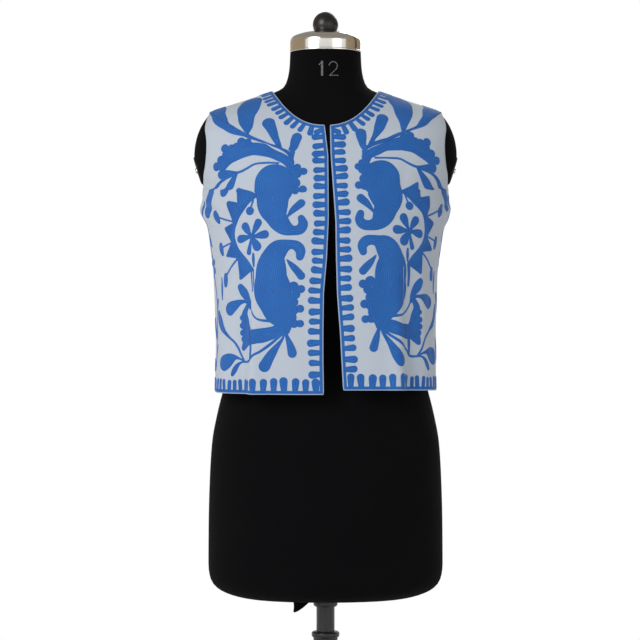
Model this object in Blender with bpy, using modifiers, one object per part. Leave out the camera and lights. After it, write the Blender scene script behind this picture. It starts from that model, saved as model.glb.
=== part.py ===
"""A sleeveless, open-fronted vest worn by a limbless dress form on a height-adjusting stand.

Metres, +Z up, the garment's front towards -Y. The origin is on the floor under the middle of the
stand. The form and the cloth round it are lofts through rings: each ring is a superellipse whose
side, front and back may stand at different heights, so that the upper rings run over the shoulders.
"""

import math
from collections import namedtuple

import bmesh
import bpy
import numpy as np
from mathutils import Matrix, Vector

# Cloth and seams
WALL = 0.0020  # embroidered cotton with its backing
SEAM_HALF_GAP = 0.0003
PIPING_RADIUS = 0.0012
PIPING_GAP = 0.0004
PIPING_SINK = 0.0008  # how far the roll's middle lies inside the cloth's outer face
BODY_MIDDLE = (0, 0, 1.1)

# Armhole opening, as half depths where it is widest
ARMHOLE_FRONT = 0.066
ARMHOLE_BACK = 0.068

# The line of the waist dart, as a bearing seen from above, 0 at the centre front
DART_BEARING = 41.0

# Arm stub of the form: a cut ellipsoid with a metal plate on its flat end
STUB_CENTRE = Vector((0.150, 0.006, 1.302))
STUB_RADII = Vector((0.0668, 0.060, 0.0755))
STUB_TILT = math.radians(17.0)
STUB_CUT = 0.0635  # from the stub's centre to its flat end
PLATE_MARGIN = 0.002
PLATE_THICK = 0.0024
SCREW_RADIUS = 0.005
SCREW_RISE = 0.0030

# Neck cap, knob and stand
REST_GAP = 0.0003
TORSO_BASE = 0.573
NECK_TOP = 1.4722
CAP_RADIUS = 0.0588
CAP_TOP = 1.508
KNOB_RADIUS = 0.0210
KNOB_CENTRE = 1.519
POLE_RADIUS = 0.0150
POLE_BASE = 0.200
POLE_IN_SOCKET = 0.044
FLANGE_RADIUS = 0.0200
FLANGE_BASE = 0.5600
TUBE_RADIUS = 0.0170
TUBE_BORE = 0.0156
TUBE_TOP = 0.511
COLLAR_RADIUS = 0.0230
COLLAR_BASE = 0.484
COLLAR_TOP = 0.519
PLATE_RADIUS = 0.190
BASE_THICK = 0.010
HUB_RADIUS = 0.034
HUB_TOP = 0.036

FORM_AROUND = 32
FORM_STEP = 0.034
TURN_STEPS = 28
BASE_STEPS = 48

# One ring of the form or of the cloth. half_width is at the side, front and back are depths from
# the middle, square is the superellipse's exponent, and lift is how fast the ring climbs from
# z_front or z_back to z_side.
Ring = namedtuple("Ring", "name z_side z_front z_back half_width front back square lift")

FORM_RINGS = (
    Ring("underside", TORSO_BASE, TORSO_BASE, TORSO_BASE, 0.1000, 0.0660, 0.0640, 2.4, 2.0),
    Ring("turn_low", 0.5762, 0.5762, 0.5762, 0.1330, 0.0880, 0.0850, 2.4, 2.0),
    Ring("turn_middle", 0.5820, 0.5820, 0.5820, 0.1580, 0.1030, 0.1000, 2.4, 2.0),
    Ring("turn_high", 0.5925, 0.5925, 0.5925, 0.1790, 0.1140, 0.1100, 2.4, 2.0),
    Ring("turn_end", 0.6070, 0.6070, 0.6070, 0.1895, 0.1195, 0.1155, 2.4, 2.0),
    Ring("seat_low", 0.6320, 0.6320, 0.6320, 0.1930, 0.1215, 0.1180, 2.4, 2.0),
    Ring("seat", 0.7000, 0.7000, 0.7000, 0.1926, 0.1240, 0.1250, 2.3, 2.0),
    Ring("hip", 0.7680, 0.7680, 0.7680, 0.1908, 0.1240, 0.1270, 2.3, 2.0),
    Ring("hip_high", 0.8300, 0.8300, 0.8300, 0.1870, 0.1210, 0.1220, 2.3, 2.0),
    Ring("belly", 0.8750, 0.8750, 0.8750, 0.1790, 0.1170, 0.1130, 2.3, 2.0),
    Ring("belly_high", 0.9150, 0.9150, 0.9150, 0.1690, 0.1130, 0.1050, 2.2, 2.0),
    Ring("waist_low", 0.9700, 0.9700, 0.9700, 0.1520, 0.1060, 0.0960, 2.2, 2.0),
    Ring("waist", 1.0300, 1.0300, 1.0300, 0.1390, 0.1020, 0.0910, 2.2, 2.0),
    Ring("ribs", 1.0900, 1.0900, 1.0900, 0.1450, 0.1100, 0.0950, 2.2, 2.0),
    Ring("bust_low", 1.1450, 1.1450, 1.1450, 0.1560, 0.1240, 0.1010, 2.2, 2.0),
    Ring("bust", 1.1900, 1.1900, 1.1900, 0.1640, 0.1330, 0.1060, 2.2, 2.0),
    Ring("underarm", 1.2450, 1.2400, 1.2450, 0.1690, 0.1280, 0.1070, 2.2, 1.8),
    Ring("arm_low", 1.3000, 1.2600, 1.2800, 0.1780, 0.1235, 0.1070, 2.2, 1.6),
    Ring("arm_high", 1.3450, 1.2780, 1.3100, 0.1850, 0.1195, 0.1050, 2.2, 1.6),
    Ring("shoulder_tip", 1.3675, 1.2900, 1.3340, 0.1870, 0.1165, 0.1000, 2.2, 1.6),
    Ring("shoulder_out", 1.3795, 1.3010, 1.3480, 0.1640, 0.1132, 0.0940, 2.2, 1.7),
    Ring("shoulder", 1.3890, 1.3125, 1.3620, 0.1390, 0.1095, 0.0872, 2.2, 1.8),
    Ring("shoulder_in", 1.3972, 1.3260, 1.3790, 0.1140, 0.1055, 0.0790, 2.2, 2.0),
    Ring("neck_foot", 1.4065, 1.3440, 1.3975, 0.0855, 0.0995, 0.0680, 2.1, 2.3),
    Ring("neck_slope", 1.4150, 1.3650, 1.4090, 0.0695, 0.0905, 0.0640, 2.1, 2.2),
    Ring("neck_low", 1.4300, 1.3940, 1.4240, 0.0625, 0.0780, 0.0615, 2.0, 2.0),
    Ring("neck", 1.4480, 1.4300, 1.4450, 0.0595, 0.0660, 0.0595, 2.0, 2.0),
    Ring("neck_top", NECK_TOP, NECK_TOP, NECK_TOP, 0.0582, 0.0582, 0.0582, 2.0, 2.0),
)

# The cloth's outer face. Between underarm and shoulder_tip the side lies in the open armhole.
VEST_RINGS = (
    Ring("hem", 0.9170, 0.9170, 0.9170, 0.1820, 0.1485, 0.1280, 2.9, 2.0),
    Ring("hip_line", 0.9600, 0.9600, 0.9600, 0.1812, 0.1485, 0.1270, 2.9, 2.0),
    Ring("waist_low", 1.0100, 1.0100, 1.0100, 0.1800, 0.1480, 0.1255, 2.8, 2.0),
    Ring("waist", 1.0600, 1.0600, 1.0600, 0.1812, 0.1470, 0.1230, 2.7, 2.0),
    Ring("ribs", 1.1100, 1.1100, 1.1100, 0.1838, 0.1455, 0.1200, 2.6, 2.0),
    Ring("bust_low", 1.1500, 1.1500, 1.1500, 0.1895, 0.1440, 0.1180, 2.5, 2.0),
    Ring("bust", 1.1850, 1.1850, 1.1850, 0.1950, 0.1420, 0.1165, 2.4, 2.0),
    Ring("side_wing", 1.2160, 1.2130, 1.2160, 0.2060, 0.1392, 0.1155, 2.35, 1.8),
    Ring("underarm", 1.2450, 1.2350, 1.2430, 0.2030, 0.1360, 0.1150, 2.3, 1.8),
    Ring("arm_low", 1.2760, 1.2520, 1.2680, 0.2150, 0.1320, 0.1140, 2.2, 1.6),
    Ring("arm_middle", 1.3120, 1.2680, 1.2960, 0.2215, 0.1275, 0.1125, 2.15, 1.6),
    Ring("arm_high", 1.3480, 1.2830, 1.3210, 0.2170, 0.1235, 0.1085, 2.15, 1.6),
    Ring("shoulder_tip", 1.3738, 1.2945, 1.3388, 0.1908, 0.1195, 0.1030, 2.2, 1.6),
    Ring("shoulder_out", 1.3832, 1.3050, 1.3512, 0.1660, 0.1162, 0.0968, 2.2, 1.7),
    Ring("shoulder", 1.3914, 1.3165, 1.3650, 0.1405, 0.1125, 0.0900, 2.2, 1.8),
    Ring("shoulder_in", 1.3996, 1.3295, 1.3820, 0.1158, 0.1085, 0.0820, 2.2, 2.0),
    Ring("neckline", 1.4089, 1.3450, 1.4005, 0.0885, 0.1030, 0.0715, 2.1, 2.3),
)
UNDERARM = 8
SHOULDER_TIP = 12

# Steps of the cloth's grid: up the body, round the armhole, along the shoulder
BODY_STEPS = 14
ARMHOLE_STEPS = 8
SHOULDER_STEPS = 5
# Where the columns stand, as shares of the way from front edge to dart and from dart to side
FRONT_SHARES = (0.0, 0.17, 0.34, 0.51, 0.66, 0.79, 0.89, 0.96, 1.0)
SIDE_SHARES = (0.06, 0.13, 0.21, 0.31, 0.45, 0.62, 0.80, 0.955, 1.0)
BACK_STEPS = 24
BACK_END_SHARE = 0.022

# A soft vertical fold: where it stands as a bearing from above, how wide and how deep it is at the
# hem (outward is positive), and the height at which it starts.
Fold = namedtuple("Fold", "bearing spread push top")

FOLDS = (
    Fold(41.0, 4.5, 0.0095, 1.19),
    Fold(50.0, 5.5, -0.0105, 1.19),
    Fold(-40.5, 4.5, 0.0090, 1.18),
    Fold(-49.0, 5.5, -0.0095, 1.18),
    Fold(68.0, 7.0, 0.0030, 1.12),
    Fold(-66.0, 7.0, 0.0035, 1.10),
    Fold(18.0, 9.0, -0.0025, 1.10),
    Fold(118.0, 9.0, 0.0045, 1.16),
    Fold(-116.0, 9.0, 0.0045, 1.14),
    Fold(138.0, 9.0, -0.0060, 1.20),
    Fold(-139.0, 9.0, -0.0055, 1.21),
    Fold(160.0, 9.0, 0.0050, 1.18),
    Fold(-158.0, 9.0, 0.0055, 1.17),
)

# How far each front's hem hangs above (or below) the back's, most of all at its open edge
HANG_LEFT = 0.0040
HANG_RIGHT = -0.0030
HANG_TOP = 1.22

# The opening's two edges, as distances from the centre, by height. The cloth hangs a little to one
# side, so the wearer's right edge crosses the middle near the bust.
Edge = namedtuple("Edge", "height right_front left_front")

FRONT_EDGES = (
    Edge(0.915, -0.0040, 0.0292),
    Edge(0.965, -0.0048, 0.0262),
    Edge(1.015, -0.0048, 0.0235),
    Edge(1.075, -0.0040, 0.0190),
    Edge(1.130, 0.0008, 0.0176),
    Edge(1.190, 0.0036, 0.0166),
    Edge(1.250, 0.0034, 0.0124),
    Edge(1.300, 0.0030, 0.0092),
    Edge(1.345, -0.0024, 0.0080),
)


def smooth_rows(rows, at):
    """Rows of numbers read between their indices by a curve that never overshoots them."""
    rows = np.array(rows, float)
    step = np.diff(rows, axis=0)
    product = step[:-1] * step[1:]
    total = step[:-1] + step[1:]
    middle = np.where(product > 0, 2 * product / np.where(total == 0, 1, total), 0)
    slope = np.vstack([step[:1], middle, step[-1:]])
    at = np.clip(np.asarray(at, float), 0, len(rows) - 1)
    low = np.minimum(at.astype(int), len(rows) - 2)
    t = (at - low)[:, None]
    return (
        (2 * t**3 - 3 * t**2 + 1) * rows[low]
        + (t**3 - 2 * t**2 + t) * slope[low]
        + (3 * t**2 - 2 * t**3) * rows[low + 1]
        + (t**3 - t**2) * slope[low + 1]
    )


def rings_at(table, at):
    values = smooth_rows([ring[1:] for ring in table], at)
    return [Ring("between", *row) for row in values]


def ring_points(ring, bearings):
    """Points of a ring at these bearings in radians: 0 at the front, pi / 2 at the +X side."""
    s, c = np.sin(bearings), np.cos(bearings)
    power = 2 / ring.square
    depth = np.where(c > 0, ring.front, ring.back)
    low = np.where(c > 0, ring.z_front, ring.z_back)
    x = ring.half_width * np.sign(s) * np.abs(s) ** power
    y = -depth * np.sign(c) * np.abs(c) ** power
    z = low + (ring.z_side - low) * np.abs(s) ** ring.lift
    return np.stack([x, y, z], axis=1)


def folded(points):
    """The cloth's points with its vertical folds, pushed straight away from the middle."""
    hem = VEST_RINGS[0].z_side
    bearing = np.degrees(np.arctan2(points[:, 0], -points[:, 1]))
    push = np.zeros(len(points))
    for fold in FOLDS:
        fade = np.clip((fold.top - points[:, 2]) / (fold.top - hem), 0, 1)
        away = (bearing - fold.bearing + 180) % 360 - 180
        push += fold.push * fade**1.3 * np.exp(-((away / fold.spread) ** 2))
    out = points[:, :2] / np.linalg.norm(points[:, :2], axis=1)[:, None]
    moved = points.copy()
    moved[:, :2] += out * push[:, None]
    return moved


def lengths_along(points):
    steps = np.linalg.norm(np.diff(points, axis=0), axis=1)
    return np.concatenate([[0], np.cumsum(steps)])


def points_at(points, along, places):
    return np.stack([np.interp(places, along, points[:, k]) for k in range(3)], axis=1)


def cloth_rows():
    """For each row of the cloth's grid: its ring, and how open the armhole is there, from 0 to 1."""
    body = np.linspace(0, UNDERARM, BODY_STEPS + 1)[:-1]
    turn = np.linspace(0, math.pi, ARMHOLE_STEPS + 1)
    arm = UNDERARM + (SHOULDER_TIP - UNDERARM) * (1 - np.cos(turn)) / 2
    top = np.linspace(SHOULDER_TIP, len(VEST_RINGS) - 1, SHOULDER_STEPS + 1)[1:]
    at = np.concatenate([body, arm, top])
    openness = np.concatenate([0 * body, np.sin(turn), 0 * top])
    return list(zip(rings_at(VEST_RINGS, at), openness))


def front_grid(side):
    """Rows of points on the outer face of one front. side is 1 for the wearer's left, -1 for right."""
    heights = [edge.height for edge in FRONT_EDGES]
    if side > 0:
        edges, hang = [edge.left_front for edge in FRONT_EDGES], HANG_LEFT
    else:
        edges, hang = [-edge.right_front for edge in FRONT_EDGES], HANG_RIGHT
    bearings = side * np.radians(np.linspace(-9, 90, 500))
    rows = []
    for ring, openness in cloth_rows():
        curve = folded(ring_points(ring, bearings))
        low = np.clip((HANG_TOP - curve[:, 2]) / (HANG_TOP - VEST_RINGS[0].z_side), 0, 1)
        curve[:, 2] += hang * low * np.clip(-curve[:, 1] / VEST_RINGS[0].front, 0, 1)
        along = lengths_along(curve)
        height = np.interp(0, -np.abs(curve[::-1, 0]), curve[::-1, 2])
        start = np.interp(np.interp(height, heights, edges), side * curve[:, 0], along)
        seen_from = np.degrees(np.arctan2(side * curve[:, 0], -curve[:, 1]))
        dart = np.interp(DART_BEARING, seen_from, along)
        end = along[-1] - SEAM_HALF_GAP
        if openness > 1e-6:
            cut = np.interp(-ARMHOLE_FRONT * openness, curve[:, 1], along)
            end = min(end, cut)
        shares = np.concatenate(
            [
                start + (dart - start) * np.array(FRONT_SHARES),
                dart + (end - dart) * np.array(SIDE_SHARES),
            ]
        )
        rows.append(points_at(curve, along, shares))
    return rows


def back_grid():
    """Rows of points on the outer face of the back, from the wearer's left seam to the right."""
    bearings = np.radians(np.linspace(90, 270, 900))
    inner = np.linspace(BACK_END_SHARE, 1 - BACK_END_SHARE, BACK_STEPS - 1)
    shares = np.concatenate([[0], inner, [1]])
    rows = []
    for ring, openness in cloth_rows():
        curve = folded(ring_points(ring, bearings))
        along = lengths_along(curve)
        start = SEAM_HALF_GAP
        if openness > 1e-6:
            rising = slice(0, len(curve) // 2)
            cut = np.interp(ARMHOLE_BACK * openness, curve[rising, 1], along[rising])
            start = max(start, cut)
        end = along[-1] - start
        rows.append(points_at(curve, along, start + (end - start) * shares))
    return rows


def collection_named(name):
    collection = bpy.data.collections.new(name)
    bpy.context.scene.collection.children.link(collection)
    return collection


def material_named(name, colour, roughness, metallic=0.0):
    material = bpy.data.materials.new(name)
    material.use_nodes = True
    shader = material.node_tree.nodes["Principled BSDF"]
    shader.inputs["Base Color"].default_value = (*colour, 1.0)
    shader.inputs["Roughness"].default_value = roughness
    shader.inputs["Metallic"].default_value = metallic
    material.diffuse_color = (*colour, 1.0)
    return material


def object_from(bm, name, material, collection):
    mesh = bpy.data.meshes.new(name)
    bm.to_mesh(mesh)
    bm.free()
    mesh.materials.append(material)
    mesh.shade_smooth()
    mesh.set_sharp_from_angle(angle=math.radians(40))
    obj = bpy.data.objects.new(name, mesh)
    collection.objects.link(obj)
    return obj


def cloth_panel(name, rows, material, collection):
    """An open grid of cloth, thickened inwards."""
    bm = bmesh.new()
    grid = [[bm.verts.new(point) for point in row] for row in rows]
    for low, high in zip(grid, grid[1:]):
        for k in range(len(low) - 1):
            bm.faces.new((low[k], low[k + 1], high[k + 1], high[k]))
    middle = grid[len(grid) // 3][len(grid[0]) // 2]
    bm.normal_update()
    if middle.normal.xy.dot(middle.co.xy) < 0:
        bmesh.ops.reverse_faces(bm, faces=bm.faces)
    panel = object_from(bm, name, material, collection)
    wall = panel.modifiers.new("wall", "SOLIDIFY")
    wall.thickness = WALL
    wall.offset = -1
    return panel


def piping_past(edge, inside):
    """The line of a roll that lies against an edge of the cloth, at the middle of its wall."""
    edge = np.array(edge)
    tangent = np.gradient(edge, axis=0)
    tangent /= np.linalg.norm(tangent, axis=1)[:, None]
    out = edge - np.array(inside)
    out -= tangent * np.sum(out * tangent, axis=1)[:, None]
    out /= np.linalg.norm(out, axis=1)[:, None]
    inward = np.cross(tangent, out)
    inward *= -np.sign(np.sum(inward * (edge - BODY_MIDDLE), axis=1))[:, None]
    return edge + out * (PIPING_RADIUS + PIPING_GAP) + inward * PIPING_SINK


def piping_loop(name, points, material, collection):
    curve = bpy.data.curves.new(name, "CURVE")
    curve.dimensions = "3D"
    curve.bevel_depth = PIPING_RADIUS
    curve.bevel_resolution = 1
    spline = curve.splines.new("POLY")
    spline.points.add(len(points) - 1)
    for spot, point in zip(spline.points, points):
        spot.co = (*point, 1.0)
    spline.use_cyclic_u = True
    curve.materials.append(material)
    collection.objects.link(bpy.data.objects.new(name, curve))


def edge_piping(left, right, back, material, collection):
    """One strip round the whole outer edge: both fronts, the hem and the neckline."""

    def column(rows, k):
        return [row[k] for row in rows]

    down_left = piping_past(column(left, 0), column(left, 1))[::-1]
    up_right = piping_past(column(right, 0), column(right, 1))
    hem = np.concatenate(
        [
            piping_past(left[0], left[1]),
            piping_past(back[0], back[1])[1:-1],
            piping_past(right[0], right[1])[::-1],
        ]
    )
    neck = np.concatenate(
        [
            piping_past(right[-1], right[-2]),
            piping_past(back[-1], back[-2])[::-1][1:-1],
            piping_past(left[-1], left[-2])[::-1],
        ]
    )
    hem_corners = (down_left[-1] + hem[0] - left[0][0], hem[-1] + up_right[0] - right[0][0])
    neck_corners = (up_right[-1] + neck[0] - right[-1][0], neck[-1] + down_left[0] - left[-1][0])
    loop = np.concatenate(
        [
            down_left[1:-1],
            [hem_corners[0]],
            hem[1:-1],
            [hem_corners[1]],
            up_right[1:-1],
            [neck_corners[0]],
            neck[1:-1],
            [neck_corners[1]],
        ]
    )
    piping_loop("edge_piping", loop, material, collection)


def form_torso(material, collection, tools):
    """The torso and neck as one loft, with the arm stubs joined on and the pole's socket cut in."""
    sides = np.array([(r.half_width, 0, r.z_side) for r in FORM_RINGS])
    at = [0.0]
    for k, gap in enumerate(np.diff(lengths_along(sides))):
        parts = max(1, round(gap / FORM_STEP))
        at += [k + (j + 1) / parts for j in range(parts)]
    bearings = np.linspace(0, 2 * math.pi, FORM_AROUND, endpoint=False)
    bm = bmesh.new()
    loops = [
        [bm.verts.new(point) for point in ring_points(ring, bearings)]
        for ring in rings_at(FORM_RINGS, at)
    ]
    for low, high in zip(loops, loops[1:]):
        for k in range(FORM_AROUND):
            after = (k + 1) % FORM_AROUND
            bm.faces.new((low[k], low[after], high[after], high[k]))
    bm.faces.new(loops[0][::-1])
    bm.faces.new(loops[-1])
    bmesh.ops.recalc_face_normals(bm, faces=bm.faces)
    torso = object_from(bm, "form_torso", material, collection)
    for side, word in ((1, "left"), (-1, "right")):
        join(torso, arm_stub(word, side, material, tools), "UNION")
    socket_hole = turned(
        "socket_hole",
        [
            (0, TORSO_BASE + POLE_IN_SOCKET + 0.0066),
            (0.0188, TORSO_BASE + POLE_IN_SOCKET + 0.0066),
            (0.0188, TORSO_BASE - 0.02),
            (0, TORSO_BASE - 0.02),
        ],
        TURN_STEPS,
        material,
        tools,
    )
    join(torso, socket_hole, "DIFFERENCE")


def join(target, tool, operation):
    tool.hide_render = True
    tool.display_type = "WIRE"
    boolean = target.modifiers.new(tool.name, "BOOLEAN")
    boolean.operation = operation
    boolean.solver = "EXACT"
    boolean.object = tool


def stub_normal(side):
    return Vector((side * math.cos(STUB_TILT), 0, -math.sin(STUB_TILT)))


def stub_end(side):
    """Centre of the stub's flat end, and that oval's half length and half width."""
    normal = stub_normal(side)
    squares = Vector((STUB_RADII.x**2, STUB_RADII.y**2, STUB_RADII.z**2))
    reach = math.sqrt(sum(q * n * n for q, n in zip(squares, normal)))
    shift = Vector(q * n for q, n in zip(squares, normal)) * (STUB_CUT / reach**2)
    centre = Vector((side * STUB_CENTRE.x, STUB_CENTRE.y, STUB_CENTRE.z)) + shift
    share = math.sqrt(1 - (STUB_CUT / reach) ** 2)
    return centre, STUB_RADII.x * STUB_RADII.z / reach * share, STUB_RADII.y * share


def arm_stub(word, side, material, tools):
    """An ellipsoid whose lower outer side is cut off flat."""
    bm = bmesh.new()
    bmesh.ops.create_uvsphere(bm, u_segments=20, v_segments=12, radius=1)
    bmesh.ops.scale(bm, vec=STUB_RADII, verts=bm.verts)
    place = Vector((side * STUB_CENTRE.x, STUB_CENTRE.y, STUB_CENTRE.z))
    bmesh.ops.translate(bm, vec=place, verts=bm.verts)
    normal = stub_normal(side)
    cut = bmesh.ops.bisect_plane(
        bm,
        geom=bm.verts[:] + bm.edges[:] + bm.faces[:],
        plane_co=place + normal * STUB_CUT,
        plane_no=normal,
        clear_outer=True,
    )
    rim = [e for e in cut["geom_cut"] if isinstance(e, bmesh.types.BMEdge)]
    bmesh.ops.contextual_create(bm, geom=rim)
    bmesh.ops.recalc_face_normals(bm, faces=bm.faces)
    return object_from(bm, f"stub_{word}", material, tools)


def facing(side):
    """Turns local +Z to the way the stub's flat end faces."""
    return Matrix.Rotation(side * (math.pi / 2 + STUB_TILT), 4, "Y")


def arm_plate(word, side, material, collection):
    """The oval metal plate on the end of an arm stub."""
    centre, half_length, half_width = stub_end(side)
    bm = bmesh.new()
    bmesh.ops.create_cone(
        bm, segments=24, radius1=1, radius2=0.94, depth=PLATE_THICK, cap_ends=True
    )
    size = Vector((half_length - PLATE_MARGIN, half_width - PLATE_MARGIN, 1))
    bmesh.ops.scale(bm, vec=size, verts=bm.verts)
    plate = object_from(bm, f"arm_plate_{word}", material, collection)
    lift = stub_normal(side) * (REST_GAP + PLATE_THICK / 2)
    plate.matrix_world = Matrix.Translation(centre + lift) @ facing(side)


def arm_screw(word, side, material, collection):
    """The domed screw in the middle of an arm plate."""
    centre, _, _ = stub_end(side)
    steps = [math.pi / 2 * k / 4 for k in range(5)]
    dome = [(SCREW_RADIUS * math.sin(a), SCREW_RISE * math.cos(a)) for a in steps]
    profile = [*dome, (0, 0)]
    screw = turned(f"arm_screw_{word}", profile, 14, material, collection)
    lift = stub_normal(side) * (2 * REST_GAP + PLATE_THICK)
    screw.matrix_world = Matrix.Translation(centre + lift) @ facing(side)


def turned(name, profile, steps, material, collection, closed=False):
    """A solid of revolution round Z from (radius, height) points that run down its outer side."""
    mesh = bpy.data.meshes.new(name)
    points = [(radius, 0, height) for radius, height in profile]
    edges = [(k, k + 1) for k in range(len(points) - 1)]
    if closed:
        edges.append((len(points) - 1, 0))
    mesh.from_pydata(points, edges, [])
    mesh.materials.append(material)
    obj = bpy.data.objects.new(name, mesh)
    collection.objects.link(obj)
    screw = obj.modifiers.new("turn", "SCREW")
    screw.steps = screw.render_steps = steps
    screw.use_merge_vertices = True
    screw.merge_threshold = 0.00001
    screw.use_smooth_shade = True
    return obj


def neck_cap(material, collection):
    """The plated lid on the neck: a straight band under a low dome."""
    floor = NECK_TOP + REST_GAP
    profile = [
        (0, CAP_TOP),
        (0.022, CAP_TOP - 0.0005),
        (0.040, CAP_TOP - 0.0035),
        (0.0525, CAP_TOP - 0.0080),
        (0.0570, CAP_TOP - 0.0118),
        (CAP_RADIUS, CAP_TOP - 0.0165),
        (CAP_RADIUS, floor),
        (0, floor),
    ]
    turned("neck_cap", profile, TURN_STEPS + 4, material, collection)


def knob(material, collection):
    """A ball that stands on the cap, cut off flat underneath."""
    floor = CAP_TOP + REST_GAP
    last = math.acos((floor - KNOB_CENTRE) / KNOB_RADIUS)
    angles = [last * k / 9 for k in range(10)]
    ball = [
        (KNOB_RADIUS * math.sin(a), KNOB_CENTRE + KNOB_RADIUS * math.cos(a)) for a in angles
    ]
    turned("knob", [*ball, (0, floor)], 20, material, collection)


def pole_socket(material, collection):
    """The cup in the torso that takes the pole, with its flange under the torso."""
    top = TORSO_BASE + POLE_IN_SOCKET
    under = TORSO_BASE - REST_GAP
    profile = [
        (0, top + 0.0063),
        (0.0185, top + 0.0063),
        (0.0185, under),
        (FLANGE_RADIUS, under),
        (FLANGE_RADIUS, FLANGE_BASE + 0.0025),
        (FLANGE_RADIUS - 0.0020, FLANGE_BASE),
        (TUBE_BORE, FLANGE_BASE),
        (TUBE_BORE, top),
        (0, top),
    ]
    turned("pole_socket", profile, TURN_STEPS, material, collection)


def pole(material, collection):
    top = TORSO_BASE + POLE_IN_SOCKET - REST_GAP
    profile = [(0, top), (POLE_RADIUS, top), (POLE_RADIUS, POLE_BASE), (0, POLE_BASE)]
    turned("pole", profile, TURN_STEPS, material, collection)


def stand_tube(material, collection):
    profile = [
        (TUBE_BORE, TUBE_TOP),
        (TUBE_RADIUS, TUBE_TOP),
        (TUBE_RADIUS, BASE_THICK + REST_GAP),
        (TUBE_BORE, BASE_THICK + REST_GAP),
    ]
    turned("stand_tube", profile, TURN_STEPS, material, collection, closed=True)


def clamp_collar(material, collection):
    """The rounded ring on the tube's top, whose lip holds the pole."""
    lip = TUBE_TOP + REST_GAP
    middle, half = (COLLAR_TOP + lip) / 2, (COLLAR_TOP - lip) / 2
    profile = [
        (TUBE_BORE, COLLAR_TOP),
        (COLLAR_RADIUS - 0.0030, COLLAR_TOP),
        (COLLAR_RADIUS, middle + half / 2),
        (COLLAR_RADIUS, middle - half),
        (COLLAR_RADIUS - 0.0030, lip - 0.0030),
        (COLLAR_RADIUS - 0.0035, COLLAR_BASE),
        (TUBE_RADIUS + REST_GAP, COLLAR_BASE),
        (TUBE_RADIUS + REST_GAP, lip),
        (TUBE_BORE, lip),
    ]
    turned("clamp_collar", profile, TURN_STEPS, material, collection, closed=True)


def stand_base(material, collection):
    """The weighted disc, and the hub that holds the tube's foot."""
    disc = [
        (0, BASE_THICK),
        (PLATE_RADIUS - 0.008, BASE_THICK),
        (PLATE_RADIUS - 0.002, BASE_THICK - 0.003),
        (PLATE_RADIUS, BASE_THICK - 0.007),
        (PLATE_RADIUS, 0),
        (0, 0),
    ]
    turned("base_disc", disc, BASE_STEPS, material, collection)
    bore = TUBE_RADIUS + REST_GAP
    hub = [
        (bore, HUB_TOP),
        (bore + 0.004, HUB_TOP),
        (bore + 0.007, BASE_THICK + 0.012),
        (HUB_RADIUS, BASE_THICK + 0.006),
        (HUB_RADIUS, BASE_THICK + REST_GAP),
        (bore, BASE_THICK + REST_GAP),
    ]
    turned("base_hub", hub, TURN_STEPS, material, collection, closed=True)


def cover_tab(material, collection):
    """The loose end of the form's stretch cover, which hangs out below the torso."""
    top = TORSO_BASE - REST_GAP
    outline = [
        (-0.0530, top),
        (-0.0530, top - 0.0145),
        (-0.0505, top - 0.0165),
        (-0.0350, top - 0.0095),
        (-0.0260, top),
    ]
    curve = bpy.data.curves.new("cover_tab", "CURVE")
    curve.dimensions = "2D"
    curve.fill_mode = "BOTH"
    curve.extrude = 0.0010
    spline = curve.splines.new("POLY")
    spline.points.add(len(outline) - 1)
    for spot, (x, z) in zip(spline.points, outline):
        spot.co = (x, z, 0, 1)
    spline.use_cyclic_u = True
    curve.materials.append(material)
    tab = bpy.data.objects.new("cover_tab", curve)
    tab.matrix_world = Matrix.Translation((0, -0.034, 0)) @ Matrix.Rotation(math.pi / 2, 4, "X")
    collection.objects.link(tab)


def main():
    for obj in list(bpy.data.objects):
        bpy.data.objects.remove(obj)
    parts = collection_named("vest_on_dress_form")
    tools = collection_named("cutters")

    cotton = material_named("cotton", (0.62, 0.64, 0.70), 0.85)
    cord = material_named("edge_cord", (0.74, 0.77, 0.84), 0.80)
    jersey = material_named("black_jersey", (0.012, 0.012, 0.014), 0.90)
    plated = material_named("plated_metal", (0.72, 0.70, 0.66), 0.12, 1.0)
    gloss = material_named("black_gloss", (0.012, 0.012, 0.011), 0.25)
    steel = material_named("dark_steel", (0.10, 0.10, 0.115), 0.35, 0.8)
    painted = material_named("painted_iron", (0.030, 0.030, 0.034), 0.50)

    left, right, back = front_grid(1), front_grid(-1), back_grid()
    cloth_panel("front_left", left, cotton, parts)
    cloth_panel("front_right", right, cotton, parts)
    cloth_panel("back", back, cotton, parts)
    edge_piping(left, right, back, cord, parts)

    form_torso(jersey, parts, tools)
    for side, word in ((1, "left"), (-1, "right")):
        arm_plate(word, side, steel, parts)
        arm_screw(word, side, plated, parts)
    neck_cap(plated, parts)
    knob(gloss, parts)
    cover_tab(jersey, parts)
    pole_socket(steel, parts)
    pole(steel, parts)
    stand_tube(steel, parts)
    clamp_collar(steel, parts)
    stand_base(painted, parts)


main()
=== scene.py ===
"""Looks of the suzani vest on its dress form: thin cloth, chain-stitch embroidery, form and stand.

Metres, +Z up, the garment's front towards -Y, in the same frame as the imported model. The cloth is
worked out from the same rings as its solids, on a finer grid. Each panel is then laid flat, the
embroidery is drawn on the flat cloth in millimetres, and its stitches are carried back to the worn one.
"""

import math
from collections import namedtuple

import bmesh
import bpy
import numpy as np
from mathutils import Matrix, Vector
from mathutils.bvhtree import BVHTree


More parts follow.
